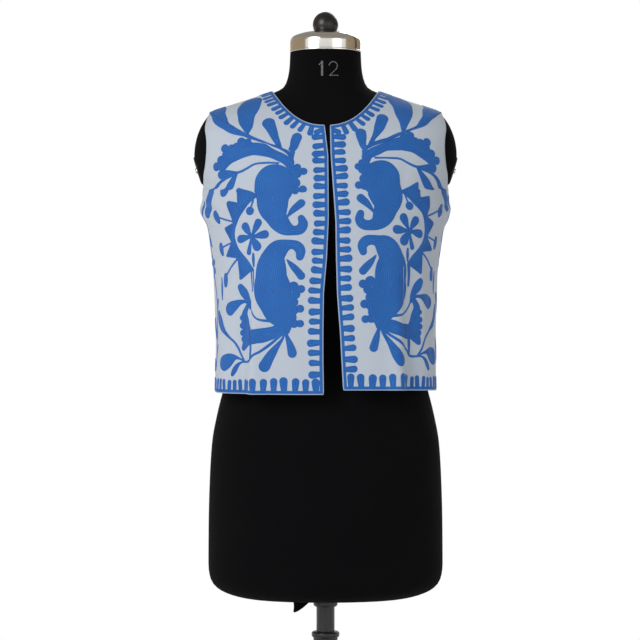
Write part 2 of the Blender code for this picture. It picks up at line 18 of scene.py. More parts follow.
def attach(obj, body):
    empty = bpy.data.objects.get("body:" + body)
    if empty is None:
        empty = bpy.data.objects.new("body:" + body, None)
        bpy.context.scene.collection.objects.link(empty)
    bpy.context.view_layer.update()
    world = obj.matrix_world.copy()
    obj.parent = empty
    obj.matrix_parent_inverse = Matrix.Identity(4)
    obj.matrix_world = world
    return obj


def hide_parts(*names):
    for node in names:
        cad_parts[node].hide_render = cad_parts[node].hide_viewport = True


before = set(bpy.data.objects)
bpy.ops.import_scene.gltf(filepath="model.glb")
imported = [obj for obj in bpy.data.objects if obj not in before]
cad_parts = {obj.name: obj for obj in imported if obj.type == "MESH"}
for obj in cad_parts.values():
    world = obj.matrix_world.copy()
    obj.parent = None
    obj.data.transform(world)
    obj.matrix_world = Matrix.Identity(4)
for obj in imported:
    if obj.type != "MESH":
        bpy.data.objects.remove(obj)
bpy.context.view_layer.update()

# Camera
CAMERA_PLACE = (-0.0091, -4.0, 1.0319)
CAMERA_LENS = 136.4
CAMERA_SENSOR = 36.0

# Cloth. The solids' walls are thicker, so the fine cloth lies inside them.
CLOTH_INSET = 0.0004
CLOTH_THICK = 0.0012
SEAM_HALF_GAP = 0.0003
ARMHOLE_FRONT = 0.066
ARMHOLE_BACK = 0.068
ROLL_RADIUS = 0.0008
ROLL_OUT = 0.0004
BODY_STEPS = 64
ARMHOLE_STEPS = 36
SHOULDER_STEPS = 14
FRONT_COLUMNS = 72
BACK_COLUMNS = 120
EDGE_DENSITY = 0.4
DART_SHARE = 0.438
DART_BESIDE = (-0.012, -0.006, -0.003, 0.003, 0.006, 0.012)
DART_DEPTH = 0.0013
DART_SPREAD = 0.0016
DART_TOP = 1.120
SEAM_DEPTH = 0.0008
SEAM_SPREAD = 0.0030
GROOVE_FADE = 0.05
BODY_TOP = 2.0
FLAT_STEP = 3
FLAT_ROUNDS = 240
# Each row of the cloth is read off a finer curve, from this bearing on a front
FRONT_START = -9
FRONT_CURVE = 700
BACK_CURVE = 1300
FOLD_FADE = 1.3
CREASE_END = 2.2

# Embroidery, in millimetres
STITCH_HEIGHT = 0.75
STITCH_SINK = 0.25
STITCH_SHOULDER = 1.3
STITCH_ROW = 3.1
STITCH_LOOP = 3.3
FRONT_PITCH = 0.88
BACK_PITCH = 1.25
FIELD_FAR = 9.0
FIELD_MARGIN = 2.2
FLAT_REACH = 0.3
SEAM_MARGIN = 0.9
EDGE_MARGIN = 0.25
DART_MARGIN = 0.42
DART_FLAT_TOP = 196.0
LINE_ROUNDS = 3
LINE_THINNEST = 0.6
# How far a hand strays: a line's place and its width, and the lean, length and width of a tooth
HAND_DRIFT = 0.45
HAND_SWELL = 0.04
TOOTH_LEAN = 0.07
TOOTH_LENGTH = 0.06
TOOTH_WIDTH = 0.07
EDGE_GROWTH = 0.10

# Form and stand, as in the solids
TORSO_BASE = 0.573
NECK_TOP = 1.4722
REST_GAP = 0.0003
FORM_AROUND = 144
FORM_STEP = 0.009
STUB_CENTRE = Vector((0.150, 0.006, 1.302))
STUB_RADII = Vector((0.0668, 0.060, 0.0755))
STUB_TILT = math.radians(17.0)
STUB_CUT = 0.0635
# Past the edge of the armhole a stub swells upward and downward, over this stretch of x
STUB_SWELL = 0.16
SWELL_FROM = 0.166
SWELL_TO = 0.188
PLATE_MARGIN = 0.002
PLATE_THICK = 0.0024
SCREW_RADIUS = 0.005
SCREW_RISE = 0.0030
CAP_RADIUS = 0.0588
CAP_TOP = 1.508
KNOB_RADIUS = 0.0210
KNOB_CENTRE = 1.519
TUBE_RADIUS = 0.0170
TUBE_BORE = 0.0156
TUBE_TOP = 0.511
COLLAR_RADIUS = 0.0230
COLLAR_BASE = 0.484
COLLAR_TOP = 0.519
PLATE_RADIUS = 0.190
BASE_THICK = 0.010
HUB_RADIUS = 0.034
HUB_TOP = 0.036
TURN_STEPS = 96
SHARP_ANGLE = 35.0
TORSO_SHARP = 38.0
# The loose end of the cover: its left end, width and place front to back, and how far it hangs
# down at these shares of its width
TAB_LEFT = -0.0530
TAB_WIDTH = 0.0270
TAB_FRONT = -0.034
TAB_SHARES = (0, 0.09, 0.30, 0.62, 1)
TAB_DROPS = (0.0182, 0.0196, 0.0170, 0.0106, 0.0006)
TAB_THICK = 0.0012

BODY_MIDDLE = (0, 0, 1.1)

# Colours, linear
COTTON = (0.488, 0.550, 0.634)
COTTON_SHADE = (0.448, 0.509, 0.598)
YARN = (0.013, 0.112, 0.414)
YARN_LIGHT = (0.026, 0.175, 0.545)
# Painted shade for the grooves between the rows and loops of stitching
YARN_PAINTED_SHADE = (0.004, 0.046, 0.240)
ROLL = (0.420, 0.520, 0.720)
ROLL_SHADE = (0.300, 0.400, 0.620)
JERSEY = (0.0020, 0.0020, 0.0026)
JERSEY_LIGHT = (0.0034, 0.0034, 0.0042)
LINT = (0.0140, 0.0140, 0.0165)
PLATED = (0.790, 0.770, 0.730)
PLATED_SHADE = (0.690, 0.670, 0.620)
STEEL = (0.0088, 0.0088, 0.0105)
STEEL_LIGHT = (0.0175, 0.0175, 0.0205)
IRON = (0.018, 0.018, 0.020)
IRON_LIGHT = (0.034, 0.034, 0.038)
GLOSS = (0.0030, 0.0028, 0.0026)
GLOSS_LIGHT = (0.0060, 0.0055, 0.0050)
PRINT = (0.420, 0.430, 0.450)
PRINT_SHADE = (0.120, 0.120, 0.130)
FLOOR = (0.800, 0.800, 0.800)
FLOOR_SHADE = (0.770, 0.770, 0.775)
WEAVE_REPEAT = 0.00064
JERSEY_RIBS = 1100.0
JERSEY_ROW = 0.0011

# The size number's place on the neck, the half width of its dots and how far they stand out
SIZE_X = 0.004
SIZE_Z = 1.4291
SIZE_DOT = 0.00080
SIZE_RISE = 0.0003

# Light and floor
FLOOR_RADIUS = 3.0
# Each light as its name, place, what it points at, diameter and power
LIGHTS = (
    ("key", (-2.6, -3.2, 2.9), (0, 0, 1.05), 2.4, 112.0),
    ("fill", (2.6, -3.4, 1.6), (0, 0, 1.05), 2.6, 14.0),
    ("rim", (1.2, 3.0, 2.8), (0, 0, 1.1), 2.0, 45.0),
)
# Reflectors for the plating, as x, then the nearer and the further y, then the lower and upper z
CARDS = (
    ("tan_card_left", -1.30, -0.55, 3.30, 1.42, 2.40, (0.560, 0.450, 0.310)),
    ("tan_card_right", 1.30, -0.55, 3.30, 1.42, 2.40, (0.400, 0.320, 0.215)),
    ("dark_card", 1.28, 0.48, 0.70, 1.42, 2.40, (0.010, 0.008, 0.006)),
)
WORLD_BAND = (0.14, 0.36)
WORLD_SIDE = (1.0, 1.0, 1.0)
WORLD_TOP = (0.300, 0.285, 0.260)

# One ring of the form or of the cloth. half_width is at the side, front and back are depths from
# the middle, square is the superellipse's exponent, and lift is how fast the ring climbs from
# z_front or z_back to z_side.
Ring = namedtuple("Ring", "name z_side z_front z_back half_width front back square lift")


def level(name, z, *shape):
    """A ring that lies level."""
    return Ring(name, z, z, z, *shape, 2.0)



FORM_RINGS = (
    level("underside", TORSO_BASE, 0.1000, 0.0660, 0.0640, 2.4),
    level("turn_low", 0.5762, 0.1330, 0.0880, 0.0850, 2.4),
    level("turn_middle", 0.5820, 0.1580, 0.1030, 0.1000, 2.4),
    level("turn_high", 0.5925, 0.1790, 0.1140, 0.1100, 2.4),
    level("turn_end", 0.6070, 0.1895, 0.1195, 0.1155, 2.4),
    level("seat_low", 0.6320, 0.1930, 0.1215, 0.1180, 2.4),
    level("seat", 0.7000, 0.1926, 0.1240, 0.1250, 2.3),
    level("hip", 0.7680, 0.1908, 0.1240, 0.1270, 2.3),
    level("hip_high", 0.8300, 0.1870, 0.1210, 0.1220, 2.3),
    level("belly", 0.8750, 0.1790, 0.1170, 0.1130, 2.3),
    level("belly_high", 0.9150, 0.1690, 0.1130, 0.1050, 2.2),
    level("waist_low", 0.9700, 0.1520, 0.1060, 0.0960, 2.2),
    level("waist", 1.0300, 0.1390, 0.1020, 0.0910, 2.2),
    level("ribs", 1.0900, 0.1450, 0.1100, 0.0950, 2.2),
    level("bust_low", 1.1450, 0.1560, 0.1240, 0.1010, 2.2),
    level("bust", 1.1900, 0.1640, 0.1330, 0.1060, 2.2),
    Ring("underarm", 1.2450, 1.2400, 1.2450, 0.1690, 0.1280, 0.1070, 2.2, 1.8),
    Ring("arm_low", 1.3000, 1.2600, 1.2800, 0.1780, 0.1235, 0.1070, 2.2, 1.6),
    Ring("arm_high", 1.3450, 1.2780, 1.3100, 0.1850, 0.1195, 0.1050, 2.2, 1.6),
    Ring("shoulder_tip", 1.3675, 1.2900, 1.3340, 0.1870, 0.1165, 0.1000, 2.2, 1.6),
    Ring("shoulder_out", 1.3795, 1.3010, 1.3480, 0.1640, 0.1132, 0.0940, 2.2, 1.7),
    Ring("shoulder", 1.3890, 1.3125, 1.3620, 0.1390, 0.1095, 0.0872, 2.2, 1.8),
    Ring("shoulder_in", 1.3972, 1.3260, 1.3790, 0.1140, 0.1055, 0.0790, 2.2, 2.0),
    Ring("neck_foot", 1.4065, 1.3440, 1.3975, 0.0855, 0.0995, 0.0680, 2.1, 2.3),
    Ring("neck_slope", 1.4150, 1.3650, 1.4090, 0.0695, 0.0905, 0.0640, 2.1, 2.2),
    Ring("neck_low", 1.4300, 1.3940, 1.4240, 0.0625, 0.0780, 0.0615, 2.0, 2.0),
    Ring("neck", 1.4480, 1.4300, 1.4450, 0.0595, 0.0660, 0.0595, 2.0, 2.0),
    level("neck_top", NECK_TOP, 0.0582, 0.0582, 0.0582, 2.0),
)

# The cloth's outer face. Between underarm and shoulder_tip the side lies in the open armhole.
VEST_RINGS = (
    level("hem", 0.9170, 0.1820, 0.1485, 0.1280, 2.9),
    level("hip_line", 0.9600, 0.1812, 0.1485, 0.1270, 2.9),
    level("waist_low", 1.0100, 0.1800, 0.1480, 0.1255, 2.8),
    level("waist", 1.0600, 0.1812, 0.1470, 0.1230, 2.7),
    level("ribs", 1.1100, 0.1838, 0.1455, 0.1200, 2.6),
    level("bust_low", 1.1500, 0.1895, 0.1440, 0.1180, 2.5),
    level("bust", 1.1850, 0.1950, 0.1420, 0.1165, 2.4),
    Ring("side_wing", 1.2160, 1.2130, 1.2160, 0.2060, 0.1392, 0.1155, 2.35, 1.8),
    Ring("underarm", 1.2450, 1.2350, 1.2430, 0.2030, 0.1360, 0.1150, 2.3, 1.8),
    Ring("arm_low", 1.2760, 1.2520, 1.2680, 0.2150, 0.1320, 0.1140, 2.2, 1.6),
    Ring("arm_middle", 1.3120, 1.2680, 1.2960, 0.2215, 0.1275, 0.1125, 2.15, 1.6),
    Ring("arm_high", 1.3480, 1.2830, 1.3210, 0.2170, 0.1235, 0.1085, 2.15, 1.6),
    Ring("shoulder_tip", 1.3738, 1.2945, 1.3388, 0.1908, 0.1195, 0.1030, 2.2, 1.6),
    Ring("shoulder_out", 1.3832, 1.3050, 1.3512, 0.1660, 0.1162, 0.0968, 2.2, 1.7),
    Ring("shoulder", 1.3914, 1.3165, 1.3650, 0.1405, 0.1125, 0.0900, 2.2, 1.8),
    Ring("shoulder_in", 1.3996, 1.3295, 1.3820, 0.1158, 0.1085, 0.0820, 2.2, 2.0),
    Ring("neckline", 1.4089, 1.3450, 1.4005, 0.0885, 0.1030, 0.0715, 2.1, 2.3),
)
UNDERARM = 8
SHOULDER_TIP = 12

# A soft vertical fold: where it stands as a bearing from above, 0 at the centre front and growing
# to the wearer's left, how wide and how deep it is at the hem, and the height at which it starts.
Fold = namedtuple("Fold", "bearing spread push top")

FOLDS = (
    Fold(41.0, 4.5, 0.0095, 1.19),
    Fold(50.0, 5.5, -0.0105, 1.19),
    Fold(-40.5, 4.5, 0.0090, 1.18),
    Fold(-49.0, 5.5, -0.0095, 1.18),
    Fold(68.0, 7.0, 0.0030, 1.12),
    Fold(-66.0, 7.0, 0.0035, 1.10),
    Fold(18.0, 9.0, -0.0025, 1.10),
    Fold(118.0, 9.0, 0.0045, 1.16),
    Fold(-116.0, 9.0, 0.0045, 1.14),
    Fold(138.0, 9.0, -0.0060, 1.20),
    Fold(-139.0, 9.0, -0.0055, 1.21),
    Fold(160.0, 9.0, 0.0050, 1.18),
    Fold(-158.0, 9.0, 0.0055, 1.17),
)

# A smaller crease: a soft trough (or ridge, where depth is above 0) from one bearing and height to
# another, with its half width and its depth in millimetres.
Crease = namedtuple("Crease", "bearing_a z_a bearing_b z_b spread depth")

CREASES = (
    Crease(-90, 1.232, -62, 1.204, 6.0, -3.4),
    Crease(-92, 1.214, -68, 1.186, 9.0, 2.4),
    Crease(-60, 1.130, -57, 0.980, 7.0, -1.6),
    Crease(-76, 1.100, -74, 0.930, 9.0, -1.8),
    Crease(-86, 1.150, -84, 0.990, 8.0, 1.5),
    Crease(-30, 1.175, -35, 1.090, 9.0, -1.2),
    Crease(-14, 1.050, -10, 0.940, 10.0, -1.0),
    Crease(88, 1.228, 60, 1.202, 6.0, -3.0),
    Crease(94, 1.205, 70, 1.176, 9.0, 2.3),
    Crease(57, 1.150, 58, 0.985, 6.0, 1.4),
    Crease(64, 1.120, 66, 0.940, 7.0, -1.9),
    Crease(80, 1.140, 79, 0.960, 9.0, 1.6),
    Crease(52, 1.300, 47, 1.240, 7.0, -0.9),
    Crease(30, 1.170, 36, 1.080, 9.0, -1.1),
    Crease(12, 1.020, 15, 0.930, 9.0, 1.0),
    Crease(112, 1.225, 140, 1.150, 10.0, -2.0),
    Crease(118, 1.180, 152, 1.090, 12.0, 1.6),
    Crease(-110, 1.228, -136, 1.160, 10.0, -2.1),
    Crease(-121, 1.176, -150, 1.100, 12.0, 1.5),
    Crease(172, 1.240, 176, 1.080, 12.0, -1.4),
    Crease(-170, 1.080, -167, 0.930, 10.0, 1.3),
    Crease(128, 1.050, 126, 0.930, 9.0, 1.4),
    Crease(-128, 1.060, -127, 0.925, 9.0, 1.5),
    Crease(150, 1.010, 148, 0.920, 8.0, -1.5),
)
CREASE_RADIUS = 0.165

HANG_LEFT = 0.0040
HANG_RIGHT = -0.0030
HANG_TOP = 1.22

# The opening's two edges, as distances from the centre, by height
Edge = namedtuple("Edge", "height right_front left_front")

FRONT_EDGES = (
    Edge(0.915, -0.0040, 0.0292),
    Edge(0.965, -0.0048, 0.0262),
    Edge(1.015, -0.0048, 0.0235),
    Edge(1.075, -0.0040, 0.0190),
    Edge(1.130, 0.0008, 0.0176),
    Edge(1.190, 0.0036, 0.0166),
    Edge(1.250, 0.0034, 0.0124),
    Edge(1.300, 0.0030, 0.0092),
    Edge(1.345, -0.0024, 0.0080),
)


def cubic(values, slope, low, t, span=1):
    """Values a share t of the way from knot low to the next, by cubics with these slopes."""
    return (
        (2 * t**3 - 3 * t**2 + 1) * values[low]
        + (t**3 - 2 * t**2 + t) * slope[low] * span
        + (3 * t**2 - 2 * t**3) * values[low + 1]
        + (t**3 - t**2) * slope[low + 1] * span
    )


def smooth_rows(rows, at):
    """Rows of numbers read between their indices by a curve that never overshoots them."""
    rows = np.array(rows, float)
    step = np.diff(rows, axis=0)
    product = step[:-1] * step[1:]
    total = step[:-1] + step[1:]
    middle = np.where(product > 0, 2 * product / np.where(total == 0, 1, total), 0)
    slope = np.vstack([step[:1], middle, step[-1:]])
    low = np.minimum(np.array(at, float).astype(int), len(rows) - 2)
    return cubic(rows, slope, low, (at - low)[:, None])


def unit(vectors):
    """The same vectors brought to length 1."""
    return vectors / np.linalg.norm(vectors, axis=-1, keepdims=True)


def rings_at(table, at):
    """The rings at these places between the rows of a table."""
    values = smooth_rows([ring[1:] for ring in table], at)
    return [Ring("between", *row) for row in values]


def ring_points(ring, bearings):
    """Points of a ring at these bearings in radians: 0 at the front, pi / 2 at the +X side."""
    s, c = np.sin(bearings), np.cos(bearings)
    power = 2 / ring.square
    depth = np.where(c > 0, ring.front, ring.back)
    low = np.where(c > 0, ring.z_front, ring.z_back)
    x = ring.half_width * np.sign(s) * np.abs(s) ** power
    y = -depth * np.sign(c) * np.abs(c) ** power
    z = low + (ring.z_side - low) * np.abs(s) ** ring.lift
    return np.stack([x, y, z], axis=1)


def bearing_of(points):
    """Bearings in degrees, as seen from above."""
    return np.degrees(np.arctan2(points[:, 0], -points[:, 1]))


def pushed_out(points, push):
    """Points moved straight away from the body's upright axis."""
    moved = points.copy()
    moved[:, :2] += unit(points[:, :2]) * push[:, None]
    return moved


def folded(points):
    """The cloth's points with its vertical folds."""
    hem = VEST_RINGS[0].z_side
    bearing = bearing_of(points)
    push = np.zeros(len(points))
    for fold in FOLDS:
        fade = np.clip((fold.top - points[:, 2]) / (fold.top - hem), 0, 1)
        away = (bearing - fold.bearing + 180) % 360 - 180
        push += fold.push * fade**FOLD_FADE * np.exp(-((away / fold.spread) ** 2))
    return pushed_out(points, push)


def creased(points):
    """The cloth's points with its smaller creases."""
    bearing = bearing_of(points)
    push = np.zeros(len(points))
    for crease in CREASES:
        turn = (bearing - crease.bearing_a + 180) % 360 - 180
        across = np.radians(turn) * CREASE_RADIUS
        up = points[:, 2] - crease.z_a
        wide = math.radians(crease.bearing_b - crease.bearing_a) * CREASE_RADIUS
        tall = crease.z_b - crease.z_a
        length = np.linalg.norm((wide, tall))
        along = (across * wide + up * tall) / length**2
        beside = (across * tall - up * wide) / length
        ends = np.exp(-((CREASE_END * (along - 0.5)) ** 4))
        push += crease.depth * 0.001 * ends * np.exp(-((beside / (crease.spread * 0.001)) ** 2))
    return pushed_out(points, push)


def lengths_along(points):
    """The length of a line of points up to each of them."""
    steps = np.linalg.norm(np.diff(points, axis=0), axis=1)
    return np.concatenate([[0], np.cumsum(steps)])


def points_at(points, along, places):
    return np.stack([np.interp(places, along, points[:, k]) for k in range(3)], axis=1)


def column_shares(count):
    """Where the columns of a panel stand, from 0 to 1, closer together near its two sides."""
    even = np.linspace(0, 1, count + 1)
    return even - EDGE_DENSITY * np.sin(2 * math.pi * even) / (2 * math.pi)


def front_shares():
    """The columns of a front, with a few more beside its dart."""
    shares = column_shares(FRONT_COLUMNS)
    shares[np.argmin(np.abs(shares - DART_SHARE))] = DART_SHARE
    return np.sort(np.concatenate([shares, [DART_SHARE + away for away in DART_BESIDE]]))


def cloth_rows():
    """For each row of the cloth's grid: its ring, and how open the armhole is there, from 0 to 1."""
    body = np.linspace(0, UNDERARM, BODY_STEPS + 1)[:-1]
    even = np.linspace(0, 1, ARMHOLE_STEPS + 1)
    share = 0.5 * even + 0.25 * (1 - np.cos(math.pi * even))
    arm = UNDERARM + (SHOULDER_TIP - UNDERARM) * share
    top = np.linspace(SHOULDER_TIP, len(VEST_RINGS) - 1, SHOULDER_STEPS + 1)[1:]
    at = np.concatenate([body, arm, top])
    rounding = np.sqrt(np.clip(1 - (2 * share - 1) ** 2, 0, 1))
    openness = np.concatenate([0 * body, rounding, 0 * top])
    return list(zip(rings_at(VEST_RINGS, at), openness))


def front_grid(side):
    """Rows of points on the outer face of one front. side is 1 for the wearer's left, -1 for right."""
    heights = [edge.height for edge in FRONT_EDGES]
    if side > 0:
        edges, hang = [edge.left_front for edge in FRONT_EDGES], HANG_LEFT
    else:
        edges, hang = [-edge.right_front for edge in FRONT_EDGES], HANG_RIGHT
    bearings = side * np.radians(np.linspace(FRONT_START, 90, FRONT_CURVE))
    shares = front_shares()
    rows = []
    for ring, openness in cloth_rows():
        curve = folded(ring_points(ring, bearings))
        low = np.clip((HANG_TOP - curve[:, 2]) / (HANG_TOP - VEST_RINGS[0].z_side), 0, 1)
        curve[:, 2] += hang * low * np.clip(-curve[:, 1] / VEST_RINGS[0].front, 0, 1)
        along = lengths_along(curve)
        height = np.interp(0, -np.abs(curve[::-1, 0]), curve[::-1, 2])
        start = np.interp(np.interp(height, heights, edges), side * curve[:, 0], along)
        end = along[-1] - SEAM_HALF_GAP
        if openness > 1e-6:
            cut = np.interp(-ARMHOLE_FRONT * openness, curve[:, 1], along)
            end = min(end, cut)
        rows.append(creased(points_at(curve, along, start + (end - start) * shares)))
    return np.array(rows)


def back_grid():
    """Rows of points on the outer face of the back, from the wearer's left seam to the right."""
    bearings = np.radians(np.linspace(90, 270, BACK_CURVE))
    shares = column_shares(BACK_COLUMNS)
    rows = []
    for ring, openness in cloth_rows():
        curve = folded(ring_points(ring, bearings))
        along = lengths_along(curve)
        start = SEAM_HALF_GAP
        if openness > 1e-6:
            rising = slice(0, len(curve) // 2)
            cut = np.interp(ARMHOLE_BACK * openness, curve[rising, 1], along[rising])
            start = max(start, cut)
        end = along[-1] - start
        rows.append(creased(points_at(curve, along, start + (end - start) * shares)))
    return np.array(rows)


def grid_normals(points):
    """Outward normals of a grid of points on the body."""
    down = np.gradient(points, axis=0)
    across = np.gradient(points, axis=1)
    normal = unit(np.cross(across, down))
    middle = len(points) // 3, points.shape[1] // 2
    if np.dot(normal[middle][:2], points[middle][:2]) < 0:
        normal = -normal
    return normal


def spring_lengths(points, down, across):
    """Lengths along the cloth from each coarse point to the one that many steps away."""
    rows = (points.shape[0] - 1) // FLAT_STEP + 1
    columns = (points.shape[1] - 1) // FLAT_STEP + 1
    i, j = np.meshgrid(
        np.arange(rows - down),
        np.arange(max(0, -across), columns - max(0, across)),
        indexing="ij",
    )
    total = 0
    for k in range(FLAT_STEP):
        here = points[FLAT_STEP * i + down * k, FLAT_STEP * j + across * k]
        after = points[FLAT_STEP * i + down * (k + 1), FLAT_STEP * j + across * (k + 1)]
        total = total + np.linalg.norm(after - here, axis=-1)
    first = (i * columns + j).ravel()
    second = ((i + down) * columns + j + across).ravel()
    return first, second, total.ravel()


def smooth_between(knots, values, places):
    """Values known at these knots, read at other places by smooth cubics."""
    slope = np.gradient(values, knots, axis=0)
    low = np.clip(np.searchsorted(knots, places, side="right") - 1, 0, len(knots) - 2)
    span = (knots[low + 1] - knots[low])[:, None]
    return cubic(values, slope, low, (places - knots[low])[:, None] / span, span)


def refined(coarse, points):
    """Values on every FLAT_STEP-th point of a grid, spread to all its points by lengths on the cloth."""
    columns = []
    for j in range(coarse.shape[1]):
        up = lengths_along(points[:, j * FLAT_STEP])
        columns.append(smooth_between(up[::FLAT_STEP], coarse[:, j], up))
    rows = []
    for i, row in enumerate(np.stack(columns, axis=1)):
        across = lengths_along(points[i])
        rows.append(smooth_between(across[::FLAT_STEP], row, across))
    return np.array(rows)


def flattened(points):
    """Where each point of a panel lies on the cloth when that is laid flat, with the least stretch.

    The open edge (the first column) points straight up from the origin, as far as the underarm.
    """
    coarse = points[::FLAT_STEP, ::FLAT_STEP]
    rows, columns = coarse.shape[:2]
    springs = [spring_lengths(points, *way) for way in ((0, 1), (1, 0), (1, 1), (1, -1))]
    first, second, length = (np.concatenate(part) for part in zip(*springs))
    weight = 1 / length
    matrix = np.zeros((rows * columns, rows * columns))
    np.add.at(matrix, (first, first), weight)
    np.add.at(matrix, (second, second), weight)
    np.add.at(matrix, (first, second), -weight)
    np.add.at(matrix, (second, first), -weight)
    matrix[0, 0] += 1
    solve = np.linalg.inv(matrix)
    across = [lengths_along(row) for row in coarse]
    up = lengths_along(coarse[:, 0])
    flat = np.array([[(u, v) for u in row] for row, v in zip(across, up)]).reshape(-1, 2)
    for _ in range(FLAT_ROUNDS):
        apart = flat[first] - flat[second]
        pull = apart * (weight * length / np.linalg.norm(apart, axis=1))[:, None]
        target = np.zeros_like(flat)
        np.add.at(target, first, pull)
        np.add.at(target, second, -pull)
        flat = solve @ target
    return refined(flat.reshape(rows, columns, 2), points)


def turned_flat(flat, low, high):
    """Turns and moves a flat panel so that the line from low to high points straight up from 0, 0."""
    line = unit(high - low)
    right = np.array([line[1], -line[0]])
    return np.stack([(flat - low) @ right, (flat - low) @ line], axis=-1)


def sunk(points, normals, column, depth, spread, top):
    """A panel's grid with a groove along one of its columns, up to this height."""
    across = np.array([lengths_along(row) for row in points])
    away = across - across[:, column][:, None]
    fade = np.clip((top - points[..., 2]) / GROOVE_FADE, 0, 1)
    push = depth * np.exp(-((away / spread) ** 2)) * fade
    return points - normals * push[..., None]


def sewn(name, points, normals):
    """A panel's grid with the grooves of its seams and of a front's dart."""
    points = sunk(points, normals, -1, SEAM_DEPTH, SEAM_SPREAD, BODY_TOP)
    if name == "back":
        return sunk(points, normals, 0, SEAM_DEPTH, SEAM_SPREAD, BODY_TOP)
    column = int(np.argmin(np.abs(front_shares() - DART_SHARE)))
    return sunk(points, normals, column, DART_DEPTH, DART_SPREAD, DART_TOP)


Panel = namedtuple("Panel", "name points normals flat")


def panel_of(name, points):
    """A panel's outer face, with its place on the flat cloth in millimetres."""
    normals = grid_normals(points)
    points = points - normals * CLOTH_INSET
    flat = flattened(points) * 1000
    points = sewn(name, points, normals)
    normals = grid_normals(points)
    if name == "back":
        middle = BACK_COLUMNS // 2
        low, high = flat[0, middle], flat[-1, middle]
    else:
        low, high = flat[0, 0], flat[BODY_STEPS, 0]
    flat = turned_flat(flat, low, high)
    return Panel(name, points, normals, flat)


def node(tree, kind, *values, **settings):
    """A shader node. Values go to its inputs in order, and None leaves one as it is."""
    new = tree.nodes.new("ShaderNode" + kind)
    for key, value in settings.items():
        setattr(new, key, value)
    for socket, value in zip(new.inputs, values):
        if isinstance(value, bpy.types.NodeSocket):
            tree.links.new(value, socket)
        elif value is not None:
            socket.default_value = value
    return new


def maths(tree, operation, *values):
    return node(tree, "Math", *values, operation=operation).outputs[0]


def noise(tree, place, scale, detail=3.0, roughness=0.5):
    return node(tree, "TexNoise", place, None, scale, detail, roughness).outputs[0]


def stretched(tree, place, scale):
    """The same coordinates at another scale along each axis."""
    return node(tree, "Mapping", place, None, None, scale).outputs[0]


def mixed(tree, share, first, second):
    """Two colours mixed by a share from 0 to 1."""
    new = tree.nodes.new("ShaderNodeMix")
    new.data_type = "RGBA"
    tree.links.new(share, new.inputs[0])
    for socket, value in ((new.inputs[6], first), (new.inputs[7], second)):
        if isinstance(value, bpy.types.NodeSocket):
            tree.links.new(value, socket)
        else:
            socket.default_value = (*value, 1.0)
    return new.outputs[2]


def bump(tree, shader, height, distance, strength=1.0, under=None):
    """Relief from a height, on top of another relief where one is given."""
    new = tree.nodes.new("ShaderNodeBump")
    new.inputs["Strength"].default_value = strength
    new.inputs["Distance"].default_value = distance
    tree.links.new(height, new.inputs["Height"])
    if under is not None:
        tree.links.new(under, new.inputs["Normal"])
    if shader is not None:
        tree.links.new(new.outputs[0], shader.inputs["Normal"])
    return new.outputs[0]


def material_named(name, colour, roughness, metallic=0.0):
    """A new material's node tree and shader."""
    material = bpy.data.materials.new(name)
    material.use_nodes = True
    material.diffuse_color = (*colour, 1.0)
    shader = material.node_tree.nodes["Principled BSDF"]
    shader.inputs["Base Color"].default_value = (*colour, 1.0)
    shader.inputs["Roughness"].default_value = roughness
    shader.inputs["Metallic"].default_value = metallic
    return material, material.node_tree, shader


def object_place(tree):
    return tree.nodes.new("ShaderNodeTexCoord").outputs["Object"]


def paint(tree, shader, share, first, second):
    """Gives the shader two colours mixed by a share."""
    tree.links.new(mixed(tree, share, first, second), shader.inputs["Base Color"])


def roughen(tree, shader, wear, low, high):
    """Roughness that grows with the wear."""
    rough = node(tree, "MapRange", wear, 0.3, 0.8, low, high).outputs[0]
    tree.links.new(rough, shader.inputs["Roughness"])


def soften(shader, sheen, roughness, specular):
    """The soft sheen and the weak shine of a textile."""
    shader.inputs["Sheen Weight"].default_value = sheen
    shader.inputs["Sheen Roughness"].default_value = roughness
    shader.inputs["Specular IOR Level"].default_value = specular


def ripple(tree, value, scale):
    """A sine of a value times a scale."""
    return maths(tree, "SINE", maths(tree, "MULTIPLY", value, scale))


def cotton_material():
    """Plain-weave cotton with faint slubs, read on the flat cloth."""
    material, tree, shader = material_named("cotton_weave", COTTON, 0.86)
    soften(shader, 0.25, 0.5, 0.25)
    flat = node(tree, "UVMap", uv_map="flat").outputs[0]
    split = node(tree, "SeparateXYZ", flat)
    turns = 2 * math.pi / WEAVE_REPEAT
    warp = ripple(tree, split.outputs[0], turns)
    weft = ripple(tree, split.outputs[1], turns)
    crossing = maths(tree, "MULTIPLY", warp, weft)
    ridges = maths(tree, "ADD", maths(tree, "ABSOLUTE", warp), maths(tree, "ABSOLUTE", weft))
    weave = maths(tree, "ADD", crossing, maths(tree, "MULTIPLY", ridges, 0.5))
    slub_up = noise(tree, stretched(tree, flat, (2200, 90, 1)), 1.0, 2.0)
    slub_across = noise(tree, stretched(tree, flat, (90, 2200, 1)), 1.0, 2.0)
    slubs = maths(tree, "ADD", slub_up, slub_across)
    relief = bump(tree, None, weave, 0.00007, 0.7)
    relief = bump(tree, None, slubs, 0.00025, 0.8, relief)
    puckers = noise(tree, stretched(tree, flat, (60, 60, 60)), 1.0, 3.0)
    bump(tree, shader, puckers, 0.0012, 0.55, relief)
    paint(tree, shader, maths(tree, "MULTIPLY", slubs, 0.5), COTTON_SHADE, COTTON)
    return material


